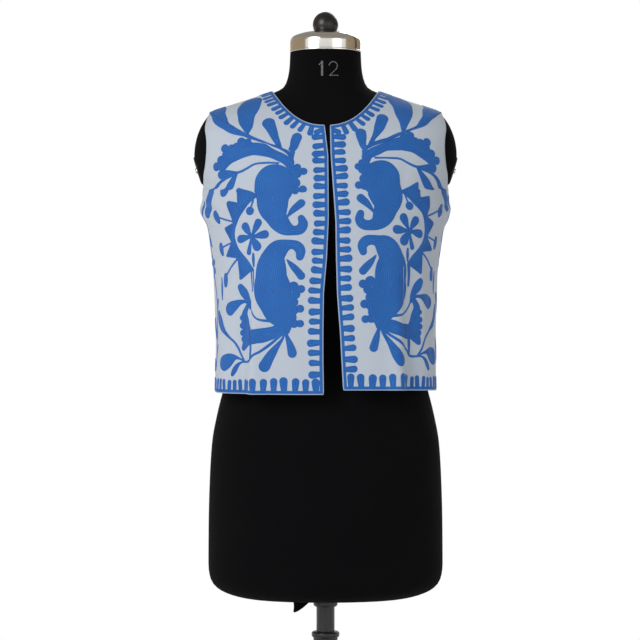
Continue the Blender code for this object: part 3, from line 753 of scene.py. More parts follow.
def chain_stitch_material():
    """Rows of chain stitch from the mesh's depth and length, with painted shade in their grooves."""
    material, tree, shader = material_named("chain_stitch", YARN, 0.66)
    soften(shader, 0.12, 0.45, 0.25)
    place = node(tree, "Attribute", attribute_name="stitch").outputs["Vector"]
    split = node(tree, "SeparateXYZ", place)
    wander = noise(tree, object_place(tree), 260.0, 2.0)
    depth = maths(tree, "ADD", split.outputs[0], maths(tree, "MULTIPLY", wander, 0.9))
    row = maths(tree, "DIVIDE", depth, STITCH_ROW)
    number = maths(tree, "FLOOR", row)
    across = maths(tree, "SUBTRACT", maths(tree, "FRACT", row), 0.5)
    lean = maths(tree, "MULTIPLY", maths(tree, "ABSOLUTE", across), 1.1)
    loops = maths(tree, "DIVIDE", split.outputs[1], STITCH_LOOP)
    loops = maths(tree, "ADD", loops, maths(tree, "MULTIPLY", number, 0.5))
    link = maths(tree, "FRACT", maths(tree, "ADD", loops, lean))
    bead = ripple(tree, link, math.pi)
    crown = maths(tree, "COSINE", maths(tree, "MULTIPLY", across, math.pi))
    bead = maths(tree, "MULTIPLY_ADD", bead, 0.5, 0.5)
    height = maths(tree, "MULTIPLY", crown, bead)
    fibres = noise(tree, object_place(tree), 2600.0, 2.0, 0.7)
    relief = bump(tree, None, height, 0.00055, 0.85)
    bump(tree, shader, fibres, 0.00018, 0.8, relief)
    patches = noise(tree, object_place(tree), 22.0, 3.0)
    light = mixed(tree, patches, YARN_LIGHT, YARN)
    # Painted shade: the yarn is darkest in the grooves between rows and loops, where the stitch height is
    # low; the fibre noise adds random tone
    share = maths(tree, "MULTIPLY_ADD", height, 0.8, 0.2)
    share = maths(tree, "ADD", share, maths(tree, "MULTIPLY", fibres, 0.25))
    share = node(tree, "Clamp", share).outputs[0]
    paint(tree, shader, share, YARN_PAINTED_SHADE, light)
    return material


def roll_material():
    """The pale rolled edge, with the slant of its twist."""
    material, tree, shader = material_named("rolled_edge", ROLL, 0.8)
    shader.inputs["Sheen Weight"].default_value = 0.3
    place = object_place(tree)
    twist = node(tree, "TexWave", place, 420.0, 0.6, 1.0)
    bump(tree, shader, twist.outputs[1], 0.0003, 0.7)
    paint(tree, shader, noise(tree, place, 150.0, 3.0), ROLL_SHADE, ROLL)
    return material


def jersey_material():
    """Black stretch jersey: fine upright ribs, a little lint, hardly any shine."""
    material, tree, shader = material_named("jersey_knit", JERSEY, 0.88)
    soften(shader, 0.012, 0.6, 0.04)
    place = object_place(tree)
    split = node(tree, "SeparateXYZ", place)
    turn = maths(tree, "ARCTAN2", split.outputs[0], split.outputs[1])
    ribs = ripple(tree, turn, JERSEY_RIBS)
    rows = ripple(tree, split.outputs[2], 2 * math.pi / JERSEY_ROW)
    knit = maths(tree, "MULTIPLY_ADD", rows, 0.35, ribs)
    relief = bump(tree, None, knit, 0.0001, 0.6)
    bump(tree, shader, noise(tree, place, 900.0, 3.0, 0.65), 0.0003, 0.5, relief)
    lint = noise(tree, place, 420.0, 4.0, 0.75)
    specks = node(tree, "MapRange", lint, 0.66, 0.80, 0.0, 1.0).outputs[0]
    soft = noise(tree, place, 9.0, 3.0)
    base = mixed(tree, soft, JERSEY, JERSEY_LIGHT)
    paint(tree, shader, specks, base, LINT)
    return material


def metal_material(name, colour, shade, roughness, scale):
    """Plated or polished metal with faint smears."""
    material, tree, shader = material_named(name, colour, roughness, 1.0)
    place = object_place(tree)
    smears = noise(tree, stretched(tree, place, (1, 1, 5)), scale, 4.0, 0.6)
    paint(tree, shader, smears, shade, colour)
    roughen(tree, shader, smears, roughness * 0.6, roughness * 1.7)
    bump(tree, shader, noise(tree, place, 1400.0, 2.0), 0.00002, 0.3)
    return material


def enamel_material(name, colour, light, roughness, grain, coat=0.0):
    """Painted or moulded black: a fine orange-peel grain and slightly worn tone."""
    material, tree, shader = material_named(name, colour, roughness)
    shader.inputs["Coat Weight"].default_value = coat
    shader.inputs["Coat Roughness"].default_value = 0.08
    place = object_place(tree)
    wear = noise(tree, place, 60.0, 5.0, 0.6)
    paint(tree, shader, wear, colour, light)
    roughen(tree, shader, wear, roughness * 0.8, roughness * 1.25)
    bump(tree, shader, noise(tree, place, grain, 2.0), 0.00012, 0.5)
    return material


def print_material():
    """Pale print that has sunk into the jersey."""
    material, tree, shader = material_named("size_print", PRINT, 0.75)
    paint(tree, shader, noise(tree, object_place(tree), 900.0, 3.0, 0.7), PRINT_SHADE, PRINT)
    return material


def floor_material():
    """A pale, even studio floor."""
    material, tree, shader = material_named("floor", FLOOR, 0.7)
    paint(tree, shader, noise(tree, object_place(tree), 2.0, 3.0), FLOOR_SHADE, FLOOR)
    return material


def object_from(name, mesh, material, slot=None, replaces=(), body="dressed_form"):
    """An object for a mesh, with its finish, its body and the nodes that it stands for."""
    mesh.materials.append(material)
    obj = bpy.data.objects.new(name, mesh)
    bpy.context.scene.collection.objects.link(obj)
    if slot:
        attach(obj, body)
    if replaces:
        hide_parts(*replaces)
    return obj


def mesh_from(bm, name):
    """A mesh with what was built in bm, which is then freed."""
    mesh = bpy.data.meshes.new(name)
    bm.to_mesh(mesh)
    bm.free()
    return mesh


def thicken(sheet, thickness, offset):
    """Gives a sheet its thickness."""
    wall = sheet.modifiers.new("wall", "SOLIDIFY")
    wall.thickness = thickness
    wall.offset = offset


def grid_faces(rows, columns, around=False):
    """Faces between the points of a grid, and round to its first column where it is a ring."""
    faces = []
    for i in range(rows - 1):
        for j in range(columns - (0 if around else 1)):
            k = (j + 1) % columns
            a, b = i * columns, (i + 1) * columns
            faces.append((a + j, a + k, b + k, b + j))
    return faces


def facing_out(faces, points, normals, sample=0):
    """The same faces, turned over where a sample of them looks against its normal."""
    face = faces[sample]
    a, b, c = (points[face[k]] for k in range(3))
    if np.dot(np.cross(b - a, c - b), normals[face[0]]) < 0:
        return [face[::-1] for face in faces]
    return faces


def cloth_piece(panel, material):
    """One panel of the garment as a thin shell."""
    rows, columns = panel.points.shape[:2]
    points, normals = panel.points.reshape(-1, 3), panel.normals.reshape(-1, 3)
    faces = facing_out(grid_faces(rows, columns), points, normals, columns // 2)
    mesh = bpy.data.meshes.new(panel.name + "_cloth")
    mesh.from_pydata(points.tolist(), [], faces)
    layer = mesh.uv_layers.new(name="flat")
    corners = np.zeros(len(mesh.loops), int)
    mesh.loops.foreach_get("vertex_index", corners)
    layer.data.foreach_set("uv", (panel.flat.reshape(-1, 2)[corners] * 0.001).ravel())
    mesh.shade_smooth()
    piece = object_from(panel.name + "_cloth", mesh, material, "cotton", [panel.name])
    thicken(piece, CLOTH_THICK, -1)
    return piece


def flat_area(panel):
    """Area of the flat panel in square metres."""
    one = panel.flat[1:, 1:] - panel.flat[:-1, :-1]
    other = panel.flat[1:, :-1] - panel.flat[:-1, 1:]
    cross = one[..., 0] * other[..., 1] - one[..., 1] * other[..., 0]
    return float(np.abs(cross).sum() / 2 / 1e6)


def declare_sheet(panel, with_pieces):
    """Works out the area of a panel's cut sheet when it lies flat, which nothing then uses."""
    flat_area(panel)


# Motifs, in millimetres on the flat cloth of a front: x away from the open edge, y up from the hem.
# Each is one line of stitching as (x, y, half width) along it.
SHOULDER_SPRAY = (
    (
        (57, 372, 4.0), (61, 385, 3.6), (71.5, 395, 3.6), (85, 402, 3.9), (101, 408.6, 4.2),
        (117, 415, 4.4), (132, 420.6, 4.4),
    ),
    (
        (126, 419, 3.8), (137, 423, 4.8), (149, 428.6, 6.6), (163, 440, 10.8), (178, 458.6, 15.6),
        (190.5, 484, 19.4), (197, 502, 20.0),
    ),
    (
        (125, 420, 2.2), (127.5, 433, 5.0), (130, 448, 10.2), (132, 466, 15.2), (132, 486, 18.6),
        (130, 504, 19.0),
    ),
    (
        (70, 393, 2.8), (75, 402, 3.4), (80, 412, 4.6), (84.5, 423, 6.6), (89.5, 436, 9.2),
        (94.5, 449, 10.6),
    ),
    ((58.5, 376, 3.0), (57.6, 386, 4.2), (55.6, 396, 5.8), (52.6, 407, 7.6), (49, 417.5, 8.8)),
)
UPPER_WING = (
    (
        (57, 357, 7.0), (62, 368, 7.0), (71, 378, 7.6), (84, 385.4, 8.6), (98, 391.4, 9.8),
        (114, 395.4, 11.2), (129, 397, 12.0),
    ),
    ((128, 396.5, 11.8), (146, 392.6, 11.8), (161, 386, 11.0), (173, 377, 9.0), (178, 371, 6.5)),
)
LEAF_STALK = (
    (
        (80, 371.5, 1.9), (100, 371.5, 1.9), (122, 370.5, 2.0), (134, 364.5, 2.1), (145, 360, 2.3),
        (154, 359, 2.6),
    ),
    ((150, 359, 2.4), (160, 360, 4.4), (171, 360.6, 6.6), (181, 361, 7.6)),
    ((151, 358.5, 2.8), (156, 351, 4.6), (162.5, 342.5, 6.6), (170, 333.5, 8.0), (177.5, 325, 8.0)),
    (
        (160, 356.5, 2.2), (176, 352.4, 2.4), (190, 346.4, 3.2), (200, 339, 4.8), (208, 329, 7.4),
        (214, 317, 10.2), (218, 304, 11.2), (221, 294, 9.0),
    ),
)
UPPER_PAISLEY = (
    (
        (41, 279, 6.2), (38, 270, 7.9), (42.5, 262, 8.3), (54, 259, 8.2), (66, 262, 11.5),
        (77, 272.6, 16.1), (84, 286, 19.8), (88.5, 300, 24.2), (88.5, 317, 29.1), (86, 336, 32.4),
    ),
    ((63, 281, 2.0), (57.5, 289, 4.3), (50, 297, 6.2), (42.5, 303.5, 7.1)),
)
LOWER_PAISLEY = (
    (
        (42.5, 217.5, 6.6), (41.3, 227, 8.2), (47, 234, 8.5), (58, 236.2, 8.0), (69, 233.6, 10.6),
        (78, 228, 15.5), (86, 216, 19.8), (89.5, 201, 23.4), (88.5, 179, 28.6), (84.5, 155, 30.0),
        (76.5, 137, 26.8), (68.5, 123, 19.6), (63.5, 110, 11.3), (61.6, 98, 5.0),
    ),
    ((63, 211.5, 1.6), (56, 203.4, 4.5), (47.4, 194.4, 6.4), (40.6, 187, 7.0)),
)
LOWER_WING = (
    ((63.5, 107, 6.0), (76, 100, 9.2), (88, 94.6, 11.1), (101, 90.4, 11.6), (117, 88.4, 11.9)),
    (
        (116, 88.4, 11.8), (129, 91, 11.4), (134, 102, 10.8), (136, 114, 9.2), (138.5, 125, 6.6),
        (134, 135, 5.0), (127.6, 145, 3.8),
    ),
    ((125, 89, 11.0), (134.5, 80, 9.2), (141, 70.5, 5.2)),
    (
        (125, 135, 1.7), (119, 124.5, 1.7), (112, 118, 1.8), (102, 115, 2.1), (91, 114, 2.6),
        (80, 113, 2.4),
    ),
)
BOTTOM_DROPS = (
    (
        (64.5, 95, 1.7), (67, 88, 2.1), (76, 74.5, 4.6), (85.5, 59, 7.6), (93.5, 44.5, 9.8),
        (95, 42, 9.9),
    ),
    ((62.6, 97, 1.7), (59.6, 87.5, 3.8), (55, 75, 6.4), (51.4, 64, 7.3)),
)
LOW_STEMS = (
    (
        (64, 96.5, 2.2), (81, 82.5, 2.5), (93.5, 73, 2.6), (106, 63.5, 2.4), (116.5, 57.5, 2.2),
        (123, 49.5, 2.3), (141, 48.5, 2.0),
    ),
    ((121.5, 82, 3.2), (121.5, 66, 3.4), (121.8, 51, 2.6)),
    (
        (139, 49, 2.1), (147, 60, 2.1), (152, 70.5, 2.2), (158.5, 79.5, 2.2), (171, 88, 2.6),
        (182, 96.6, 3.6),
    ),
    ((180, 95, 3.2), (191, 105, 6.6), (200, 117, 8.2), (206, 129, 4.6)),
    (
        (140.5, 49, 1.8), (151, 53.6, 2.2), (159, 55.4, 4.2), (168, 53.2, 9.0), (176, 49.4, 13.0),
        (181, 47.4, 14.0),
    ),
    ((141.5, 48, 1.6), (149, 46.6, 2.2), (155, 41.4, 3.9), (160, 33.6, 4.6), (163, 28, 3.2)),
)
MIDDLE_LEAVES = (
    ((126.5, 136, 3.0), (129, 146, 4.6), (133.5, 152.5, 6.8), (140.4, 161, 8.0), (146, 168.4, 6.2)),
    (
        (127, 140.6, 2.7), (138, 145, 2.8), (148, 144.6, 4.4), (157.4, 141, 7.8), (165, 137.4, 10.8),
        (169.6, 134.8, 11.8),
    ),
)
VINE = (
    (
        (116, 316, 3.6), (127.5, 307.5, 3.6), (138, 295, 3.9), (151, 280.5, 4.1), (158.2, 264.4, 4.4),
        (159, 247, 4.6), (153, 231.4, 4.3), (142.6, 218.6, 4.3), (130.6, 205.8, 4.3), (122, 194.6, 3.8),
    ),
    ((122, 196, 3.8), (121.7, 179.5, 3.0), (121.2, 162, 2.4)),
)
BALLS = (
    ((125.4, 291, 7.2), (125.8, 290.6, 7.2)),
    ((124, 296, 1.8), (121.2, 309, 1.9)),
    ((197.6, 291.5, 5.4), (194.4, 284.4, 7.4), (191, 277, 3.8)),
    ((188, 284, 1.7), (174, 279.4, 1.7), (160, 275, 1.7)),
    ((190, 238.4, 4.8), (188.8, 232, 6.2), (186, 224, 3.8)),
    ((184, 235, 1.8), (173, 238.5, 1.7), (161, 242.4, 1.7)),
    ((181, 189, 4.2), (180.8, 181, 5.6), (180.8, 173, 4.2)),
    ((178, 190.4, 2.0), (163.6, 204.2, 2.0), (147, 218.4, 2.0)),
    ((120, 221, 2.2), (119.6, 210.6, 3.0), (119.3, 201, 1.8)),
    ((193.4, 186, 1.5), (191.4, 168.4, 3.4), (190.6, 150, 1.5)),
)
SIDE_SPRAY = (
    ((241.6, 257, 2.2), (236, 247, 5.0), (230, 238, 2.6)),
    ((208, 76, 1.6), (212, 60, 2.8), (213, 42, 1.6)),
    (
        (217, 44, 1.8), (227, 74, 1.9), (231, 108, 1.9), (227, 140, 1.9), (232, 168, 1.9),
        (238, 186, 2.0),
    ),
    ((229, 84, 1.9), (239, 95, 5.6), (248, 108, 7.0), (251, 118, 5.0)),
    ((231, 114, 1.9), (224, 128, 5.0), (217, 140, 6.2), (212, 149, 4.2)),
    ((218, 48, 1.8), (229, 43, 4.0), (241, 42, 9.4), (248, 46, 9.8)),
    ((240, 226, 1.8), (245, 250, 1.8), (249, 272, 1.8), (245, 296, 1.8)),
    ((245, 290, 1.9), (240, 302, 4.8), (239, 311, 4.2)),
)
# A berry or bud as (x, y, half width)
BERRIES = (
    (141, 411.5, 7.2), (130, 409.5, 6.6), (170, 402.5, 7.2), (158, 400, 7.4), (168, 392, 7.6),
    (149, 402.5, 7.0), (178, 383.6, 7.8), (188.5, 375, 7.4), (49.6, 363.3, 6.0), (39.6, 356.6, 6.2),
    (50.8, 352.4, 8.0), (56.6, 361, 7.0), (52.6, 337, 8.2), (40, 326.4, 6.5), (52.5, 325, 7.4),
    (52.0, 170, 8.2), (40.0, 166.4, 6.8), (47.8, 157, 7.4), (51.2, 144.6, 8.0), (40.8, 134.3, 6.9),
    (51.2, 132.0, 8.2), (40.6, 110.7, 6.5), (50.2, 111.2, 7.4), (53.4, 121, 8.0), (144.4, 119.5, 4.4),
    (144.2, 107, 5.2), (144, 95.6, 5.2), (141.6, 85.6, 5.2),
)
# A flower as its middle, and each petal as the way it points in degrees, its length and half width
FLOWERS = (
    (
        (123.3, 249.4),
        ((55, 28, 7.2), (116, 32, 7.0), (172, 31, 7.4), (-10, 28, 7.3), (237, 27, 8.2), (281, 31, 4.6)),
    ),
    ((240, 206), ((20, 19, 5.4), (84, 21, 5.6), (150, 20, 5.4), (214, 19, 5.6), (276, 21, 5.4))),
)
PETAL_NEAR = 3.0
PETAL_FOOT = 2.2
# Along a petal, as a share of its length and a share of its half width
PETAL = ((0.5, 0.62), (0.85, 0.97), (1, 1))
FLOWER_HEART = 5.4
# A tooth of the vine as its tip, and the two ends of its base. It is filled with a fan of lines.
THORN_LINES = 5
THORN_TIP = 2.2
THORN_FOOT = 4.4
THORN_START = 0.06
THORNS = (
    ((150, 335), (119, 315), (145, 298)), ((168, 308), (140, 299), (156, 276)),
    ((177, 264), (160, 269), (161, 246)), ((176, 220), (159, 240), (148, 220)),
    ((147, 181), (147, 217), (125, 198)),
)

# Motifs down the middle of the back, x to either side of its centre line
SPRIG_HEIGHTS = (108, 146, 184, 268, 306)
BACK_MIDDLE = (
    ((0, 24, 1.9), (0, 120, 1.9), (0, 250, 1.9), (0, 396, 1.9)),
    *(((0, y, 1.7), (5, y + 7, 3.6), (8, y + 16, 4.6), (8, y + 24, 3.2)) for y in SPRIG_HEIGHTS),
    ((0, 344, 1.7), (6, 352, 4.0), (10, 362, 5.2), (11, 371, 3.6)),
)
BACK_FLOWERS = (
    ((0, 66), tuple((30 + 60 * k, 22, 5.6) for k in range(6))),
    ((0, 404), tuple((30 + 60 * k, 27, 6.4) for k in range(6))),
    ((0, 452), tuple((18 + 36 * k, 17, 4.8) for k in range(0, 10, 2))),
)
BACK_SHIFT = 13.0

# How far the upper motifs of the wearer's left front stand in towards its open edge, the heights
# over which that sets in, and the distances from the edge over which it does
LEFT_SHIFT = 13.0
LEFT_HEIGHTS = (250.0, 390.0)
LEFT_REACH = (40.0, 70.0)

BORDER_MIDDLE = 2.85
BORDER_HALF = 2.65
# Teeth of the border, as (distance from the edge, half width) along each
EDGE_TOOTH = ((4.0, 4.2), (10.0, 5.0), (18.2, 5.9))
HEM_TOOTH = ((4.0, 4.6), (11.0, 5.6), (19.2, 6.5))
SIDE_HEM_TOOTH = ((4.0, 3.6), (11.0, 3.8), (18.4, 3.9))
NECK_TOOTH = ((4.0, 4.0), (10.0, 4.4), (17.0, 4.9))
# The slanting tooth at the front of the neckline, from that corner
CORNER_TOOTH = ((-2, -6, 4.0), (5, -8.5, 4.6), (12.5, -11.5, 5.0))
HEM_DENSE = 129.0
HEM_SPARSE = 113.0
# From one tooth to the next along the side and the front of the hem, the open edge and the neckline
SIDE_PITCH = 10.2
HEM_PITCH = 17.0
EDGE_PITCH = 15.2
NECK_PITCH = 12.4
BACK_HEM_PITCH = 16.4
# How far the end teeth of a row stand from its ends, and from the corners of the open edge
TOOTH_END = 5.0
CORNER_ENDS = (11.0, 32.0, 20.0, 19.0)


def curve_through(knots, spacing=2.0):
    """A smooth line of stitching through a few rows of x, y and half width."""
    knots = np.array(knots, float)
    along = lengths_along(knots[:, :2])
    places = np.linspace(0, along[-1], max(2, int(along[-1] / spacing) + 1))
    line = smooth_between(along, knots, places)
    for _ in range(LINE_ROUNDS):
        line[1:-1] = (line[:-2] + 2 * line[1:-1] + line[2:]) / 4
    line[:, 2] = np.maximum(line[:, 2], LINE_THINNEST)
    return line


def petals(flower):
    """The lines of one flower."""
    (x, y), tips = flower
    for degrees, length, half in tips:
        c, s = math.cos(math.radians(degrees)), math.sin(math.radians(degrees))
        reach = length - half
        foot = ((x + PETAL_NEAR * c, y + PETAL_NEAR * s, PETAL_FOOT),)
        yield foot + tuple((x + far * reach * c, y + far * reach * s, wide * half) for far, wide in PETAL)
    yield dot(x, y, FLOWER_HEART)


def dot(x, y, half):
    """A line so short that it is a round spot."""
    return ((x - 0.2, y, half), (x + 0.2, y, half))


def thorn_lines(thorn):
    """Lines that fan out from the tip of one tooth of the vine to its base."""
    tip, one, two = (np.array(point, float) for point in thorn)
    for share in np.linspace(0, 1, THORN_LINES):
        foot = one + (two - one) * share
        top = tip + (foot - tip) * THORN_START
        yield ((*top, THORN_TIP), (*foot, THORN_FOOT))


def front_motifs():
    """Each line of a front's motifs, in the order in which they are laid."""
    groups = (SHOULDER_SPRAY, UPPER_WING, LEAF_STALK, UPPER_PAISLEY, LOWER_PAISLEY, LOWER_WING)
    groups += (BOTTOM_DROPS, LOW_STEMS, MIDDLE_LEAVES, VINE, BALLS, SIDE_SPRAY)
    for group in groups:
        yield from group
    for x, y, half in BERRIES:
        yield dot(x, y, half)
    for flower in FLOWERS:
        yield from petals(flower)
    for thorn in THORNS:
        yield from thorn_lines(thorn)


def back_motifs():
    """The fronts' motifs on each side of the back's middle, and a flowering stem between them."""
    for side in (1, -1):
        for motif in front_motifs():
            yield tuple((side * (x - BACK_SHIFT), y, half) for x, y, half in motif)
        for motif in BACK_MIDDLE:
            yield tuple((side * x, y, half) for x, y, half in motif)
    for flower in BACK_FLOWERS:
        yield from petals(flower)


def unsteady(line, seed):
    """A line as a hand would stitch it, a fraction of a millimetre off here and there."""
    line = line.copy()
    line[:, 0] += HAND_DRIFT * np.sin(0.13 * line[:, 1] + 1.7 * seed)
    line[:, 1] += HAND_DRIFT * np.sin(0.11 * line[:, 0] + 2.3 * seed)
    line[:, 2] *= 1 + HAND_SWELL * np.sin(0.35 * np.arange(len(line)) + seed)
    return line


def drawn_in(line):
    """A line of the wearer's left front, whose upper motifs stand nearer its open edge."""
    up = np.clip((line[:, 1] - LEFT_HEIGHTS[0]) / np.ptp(LEFT_HEIGHTS), 0, 1)
    out = np.clip((line[:, 0] - LEFT_REACH[0]) / np.ptp(LEFT_REACH), 0, 1)
    line = line.copy()
    line[:, 0] -= LEFT_SHIFT * up * up * (3 - 2 * up) * out
    return line


def inward(line):
    """Unit vectors to the right of a flat line, which is the cloth's side of each border."""
    tangent = unit(np.gradient(line, axis=0))
    return np.stack([tangent[:, 1], -tangent[:, 0]], axis=1)


def border_band(line):
    """The band that runs beside an edge of the cloth."""
    band = line + inward(line) * BORDER_MIDDLE
    return np.column_stack([band, np.full(len(band), BORDER_HALF)])


def teeth(line, first, last, pitch, shape, seed, growth=0.0):
    """Rounded teeth that stand on a border's band, a pitch apart or, with growth, wider at first."""
    along = lengths_along(line)
    span = along[-1] - last - first
    count = max(1, round(span / pitch))
    side = inward(line)
    for k in range(count + 1):
        share = k / count
        place = first + span * (share + growth * share * (1 - share))
        foot = np.array([np.interp(place, along, line[:, a]) for a in range(2)])
        way = np.array([np.interp(place, along, side[:, a]) for a in range(2)])
        way = way + TOOTH_LEAN * math.sin(2.1 * k + seed) * np.array([way[1], -way[0]])
        longer = 1 + TOOTH_LENGTH * math.sin(1.3 * k + 2 * seed)
        wider = 1 + TOOTH_WIDTH * math.sin(1.9 * k + seed)
        yield [(*(foot + way * far * longer), half * wider) for far, half in shape]


def against(a, b, x, y):
    """A segment's way and length, and for points x, y their share along it and how far off they lie.

    The share may be below 0 or above 1. The distance is to the nearest point of the segment.
    """
    way = b[:2] - a[:2]
    length = max(np.linalg.norm(way), 1e-6)
    raw = ((x - a[0]) * way[0] + (y - a[1]) * way[1]) / length**2
    share = np.clip(raw, 0, 1)
    return way, length, raw, np.hypot(x - a[0] - share * way[0], y - a[1] - share * way[1])


class Field:
    """A grid on a panel's flat cloth. Each point knows how far outside the stitching it lies, in
    millimetres (below 0 inside), and how far along its line."""

    def __init__(self, panel, pitch):
        flat = panel.flat.reshape(-1, 2)
        low, high = flat.min(axis=0) - 2 * pitch, flat.max(axis=0) + 2 * pitch
        self.pitch = pitch
        self.x = np.arange(low[0], high[0], pitch)
        self.y = np.arange(low[1], high[1], pitch)
        self.outside = np.full((len(self.y), len(self.x)), FIELD_FAR)
        self.along = np.zeros_like(self.outside)

    def window(self, a, b, reach):
        """The part of the grid within reach of a segment, and its points."""
        low, high = np.minimum(a, b) - reach, np.maximum(a, b) + reach
        columns = slice(*np.searchsorted(self.x, (low[0], high[0])))
        rows = slice(*np.searchsorted(self.y, (low[1], high[1])))
        return (rows, columns), self.x[columns][None, :], self.y[rows][:, None]

    def lay(self, line):
        """Adds a line of stitching, as rows of x, y and half width."""
        done = 0.0
        for a, b in zip(line, line[1:]):
            part, x, y = self.window(a[:2], b[:2], max(a[2], b[2]) + FIELD_MARGIN)
            way, length, raw, away = against(a, b, x, y)
            share = np.clip(raw, 0, 1)
            outside = away - (a[2] + (b[2] - a[2]) * share)
            beside = np.abs((x - a[0]) * way[1] - (y - a[1]) * way[0]) / length
            round_end = away * np.arctan2((raw - share) * length, beside + 1e-6)
            along = done + share * length + round_end
            nearer = outside < self.outside[part]
            self.outside[part] = np.where(nearer, outside, self.outside[part])
            self.along[part] = np.where(nearer, along, self.along[part])
            done += length

    def trim(self, line, margin):
        """Keeps the stitching this far from an edge of the cloth."""
        for a, b in zip(line, line[1:]):
            part, x, y = self.window(a, b, margin + FIELD_MARGIN)
            away = against(a, b, x, y)[3]
            self.outside[part] = np.maximum(self.outside[part], margin - away)


def outline_faces(field):
    """The faces inside the stitching's outline: corner numbers of the grid, and of its cut sides."""
    inside = field.outside < 0
    corners = [inside[:-1, :-1], inside[:-1, 1:], inside[1:, 1:], inside[1:, :-1]]
    case = sum(part.astype(int) << k for k, part in enumerate(corners))
    columns = inside.shape[1]
    total = inside.size
    faces = []
    for number in range(1, 16):
        i, j = np.nonzero(case == number)
        here = i * columns + j
        at_corner = [here, here + 1, here + columns + 1, here + columns]
        at_side = [total + here, 2 * total + here + 1, total + here + columns, 2 * total + here]
        walk = []
        for k in range(4):
            is_in, next_in = number >> k & 1, number >> (k + 1) % 4 & 1
            if is_in:
                walk.append(at_corner[k])
            if is_in != next_in:
                walk.append(at_side[k])
        faces.extend(np.stack(walk, axis=1).tolist())
    return faces


def outline_points(field, numbers):
    """Place on the flat cloth, depth and length of these corners and cut sides."""
    total, columns = field.outside.size, len(field.x)
    kind, cell = numbers // total, numbers % total
    i, j = cell // columns, cell % columns
    i2 = i + (kind == 2)
    j2 = j + (kind == 1)
    one, two = field.outside[i, j], field.outside[i2, j2]
    gap = np.where(kind == 0, 1.0, one - two)
    share = np.where(kind == 0, 0.0, np.clip(one / np.where(gap == 0, 1, gap), 0.04, 0.96))
    x = field.x[j] + share * (field.x[j2] - field.x[j])
    y = field.y[i] + share * (field.y[i2] - field.y[i])
    depth = np.where(kind == 0, -one, 0.0)
    inner = np.where(one < two, field.along[i, j], field.along[i2, j2])
    return np.stack([x, y], axis=1), depth, inner


def carried(panel, places):
    """Points and normals on the worn cloth for places on the flat one, and which lie on it."""
    rows, columns = panel.flat.shape[:2]
    flat = panel.flat.reshape(-1, 2)
    quads = np.array(grid_faces(rows, columns))
    thirds = np.concatenate([quads[:, [0, 1, 2]], quads[:, [0, 2, 3]]])
    tree = BVHTree.FromPolygons(np.column_stack([flat, 0 * flat[:, 0]]).tolist(), thirds.tolist())
    found = [tree.find_nearest(Vector((x, y, 0)), FLAT_REACH)[2] for x, y in places.tolist()]
    on_cloth = np.array([k is not None for k in found])
    face = thirds[[0 if k is None else k for k in found]]
    a, b, c = (flat[face[:, k]] for k in range(3))
    ab, ac, ap = b - a, c - a, places - a
    area = ab[:, 0] * ac[:, 1] - ab[:, 1] * ac[:, 0]
    share_b = (ap[:, 0] * ac[:, 1] - ap[:, 1] * ac[:, 0]) / area
    share_c = (ab[:, 0] * ap[:, 1] - ab[:, 1] * ap[:, 0]) / area
    shares = np.stack([1 - share_b - share_c, share_b, share_c], axis=1)[:, :, None]
    points = (panel.points.reshape(-1, 3)[face] * shares).sum(axis=1)
    normals = unit((panel.normals.reshape(-1, 3)[face] * shares).sum(axis=1))
    return points, normals, on_cloth


def embroidery(panel, field, material):
    """The stitching of one panel as a raised skin on its cloth."""
    faces = outline_faces(field)
    numbers = np.unique(np.concatenate([np.array(face) for face in faces]))
    places, depth, along = outline_points(field, numbers)
    points, normals, on_cloth = carried(panel, places)
    rise = np.clip(depth / STITCH_SHOULDER, 0, 1)
    rise = 1 - (1 - rise) ** 2
    height = -STITCH_SINK + (STITCH_HEIGHT + STITCH_SINK) * rise
    points = points + normals * (height * 0.001)[:, None]
    order = np.full(numbers[-1] + 1, -1)
    order[numbers] = np.where(on_cloth, np.arange(len(numbers)), -1)
    faces = [order[face].tolist() for face in faces]
    faces = [face for face in faces if min(face) >= 0]
    mesh = bpy.data.meshes.new("embroidery_" + panel.name)
    mesh.from_pydata(points.tolist(), [], facing_out(faces, points, normals))
    stitch = mesh.attributes.new("stitch", "FLOAT_VECTOR", "POINT")
    stitch.data.foreach_set("vector", np.column_stack([depth, along, 0 * depth]).ravel())
    tidy = bmesh.new()
    tidy.from_mesh(mesh)
    bmesh.ops.delete(tidy, geom=[v for v in tidy.verts if not v.link_faces], context="VERTS")
    tidy.to_mesh(mesh)
    tidy.free()
    mesh.shade_smooth()
    return object_from(mesh.name, mesh, material, "embroidery")


def front_field(panel, seed):
    """The stitching of a front: its border with teeth, then its motifs."""
    field = Field(panel, FRONT_PITCH)
    hem, edge = panel.flat[0, ::-1], panel.flat[:, 0]
    neck = panel.flat[-1]
    border = np.concatenate([hem, edge[1:], neck[1:]])
    field.lay(border_band(border))
    length = lengths_along(hem)[-1]
    rows = (
        teeth(hem, TOOTH_END, HEM_DENSE, SIDE_PITCH, SIDE_HEM_TOOTH, seed),
        teeth(hem, length - HEM_SPARSE, CORNER_ENDS[0], HEM_PITCH, HEM_TOOTH, seed),
        teeth(edge, *CORNER_ENDS[1:3], EDGE_PITCH, EDGE_TOOTH, seed, EDGE_GROWTH),
        teeth(neck, CORNER_ENDS[3], TOOTH_END, NECK_PITCH, NECK_TOOTH, seed),
        [[(*(neck[0] + (x, y)), half) for x, y, half in CORNER_TOOTH]],
    )
    for row in rows:
        for tooth in row:
            field.lay(curve_through(tooth))
    for k, motif in enumerate(front_motifs()):
        line = unsteady(curve_through(motif), seed + 0.31 * k)
        field.lay(drawn_in(line) if panel.name == "front_left" else line)
    field.trim(border, EDGE_MARGIN)
    field.trim(panel.flat[:, -1], SEAM_MARGIN)
    dart = panel.flat[:, int(np.argmin(np.abs(front_shares() - DART_SHARE)))]
    field.trim(dart[dart[:, 1] < DART_FLAT_TOP], DART_MARGIN)
    return field


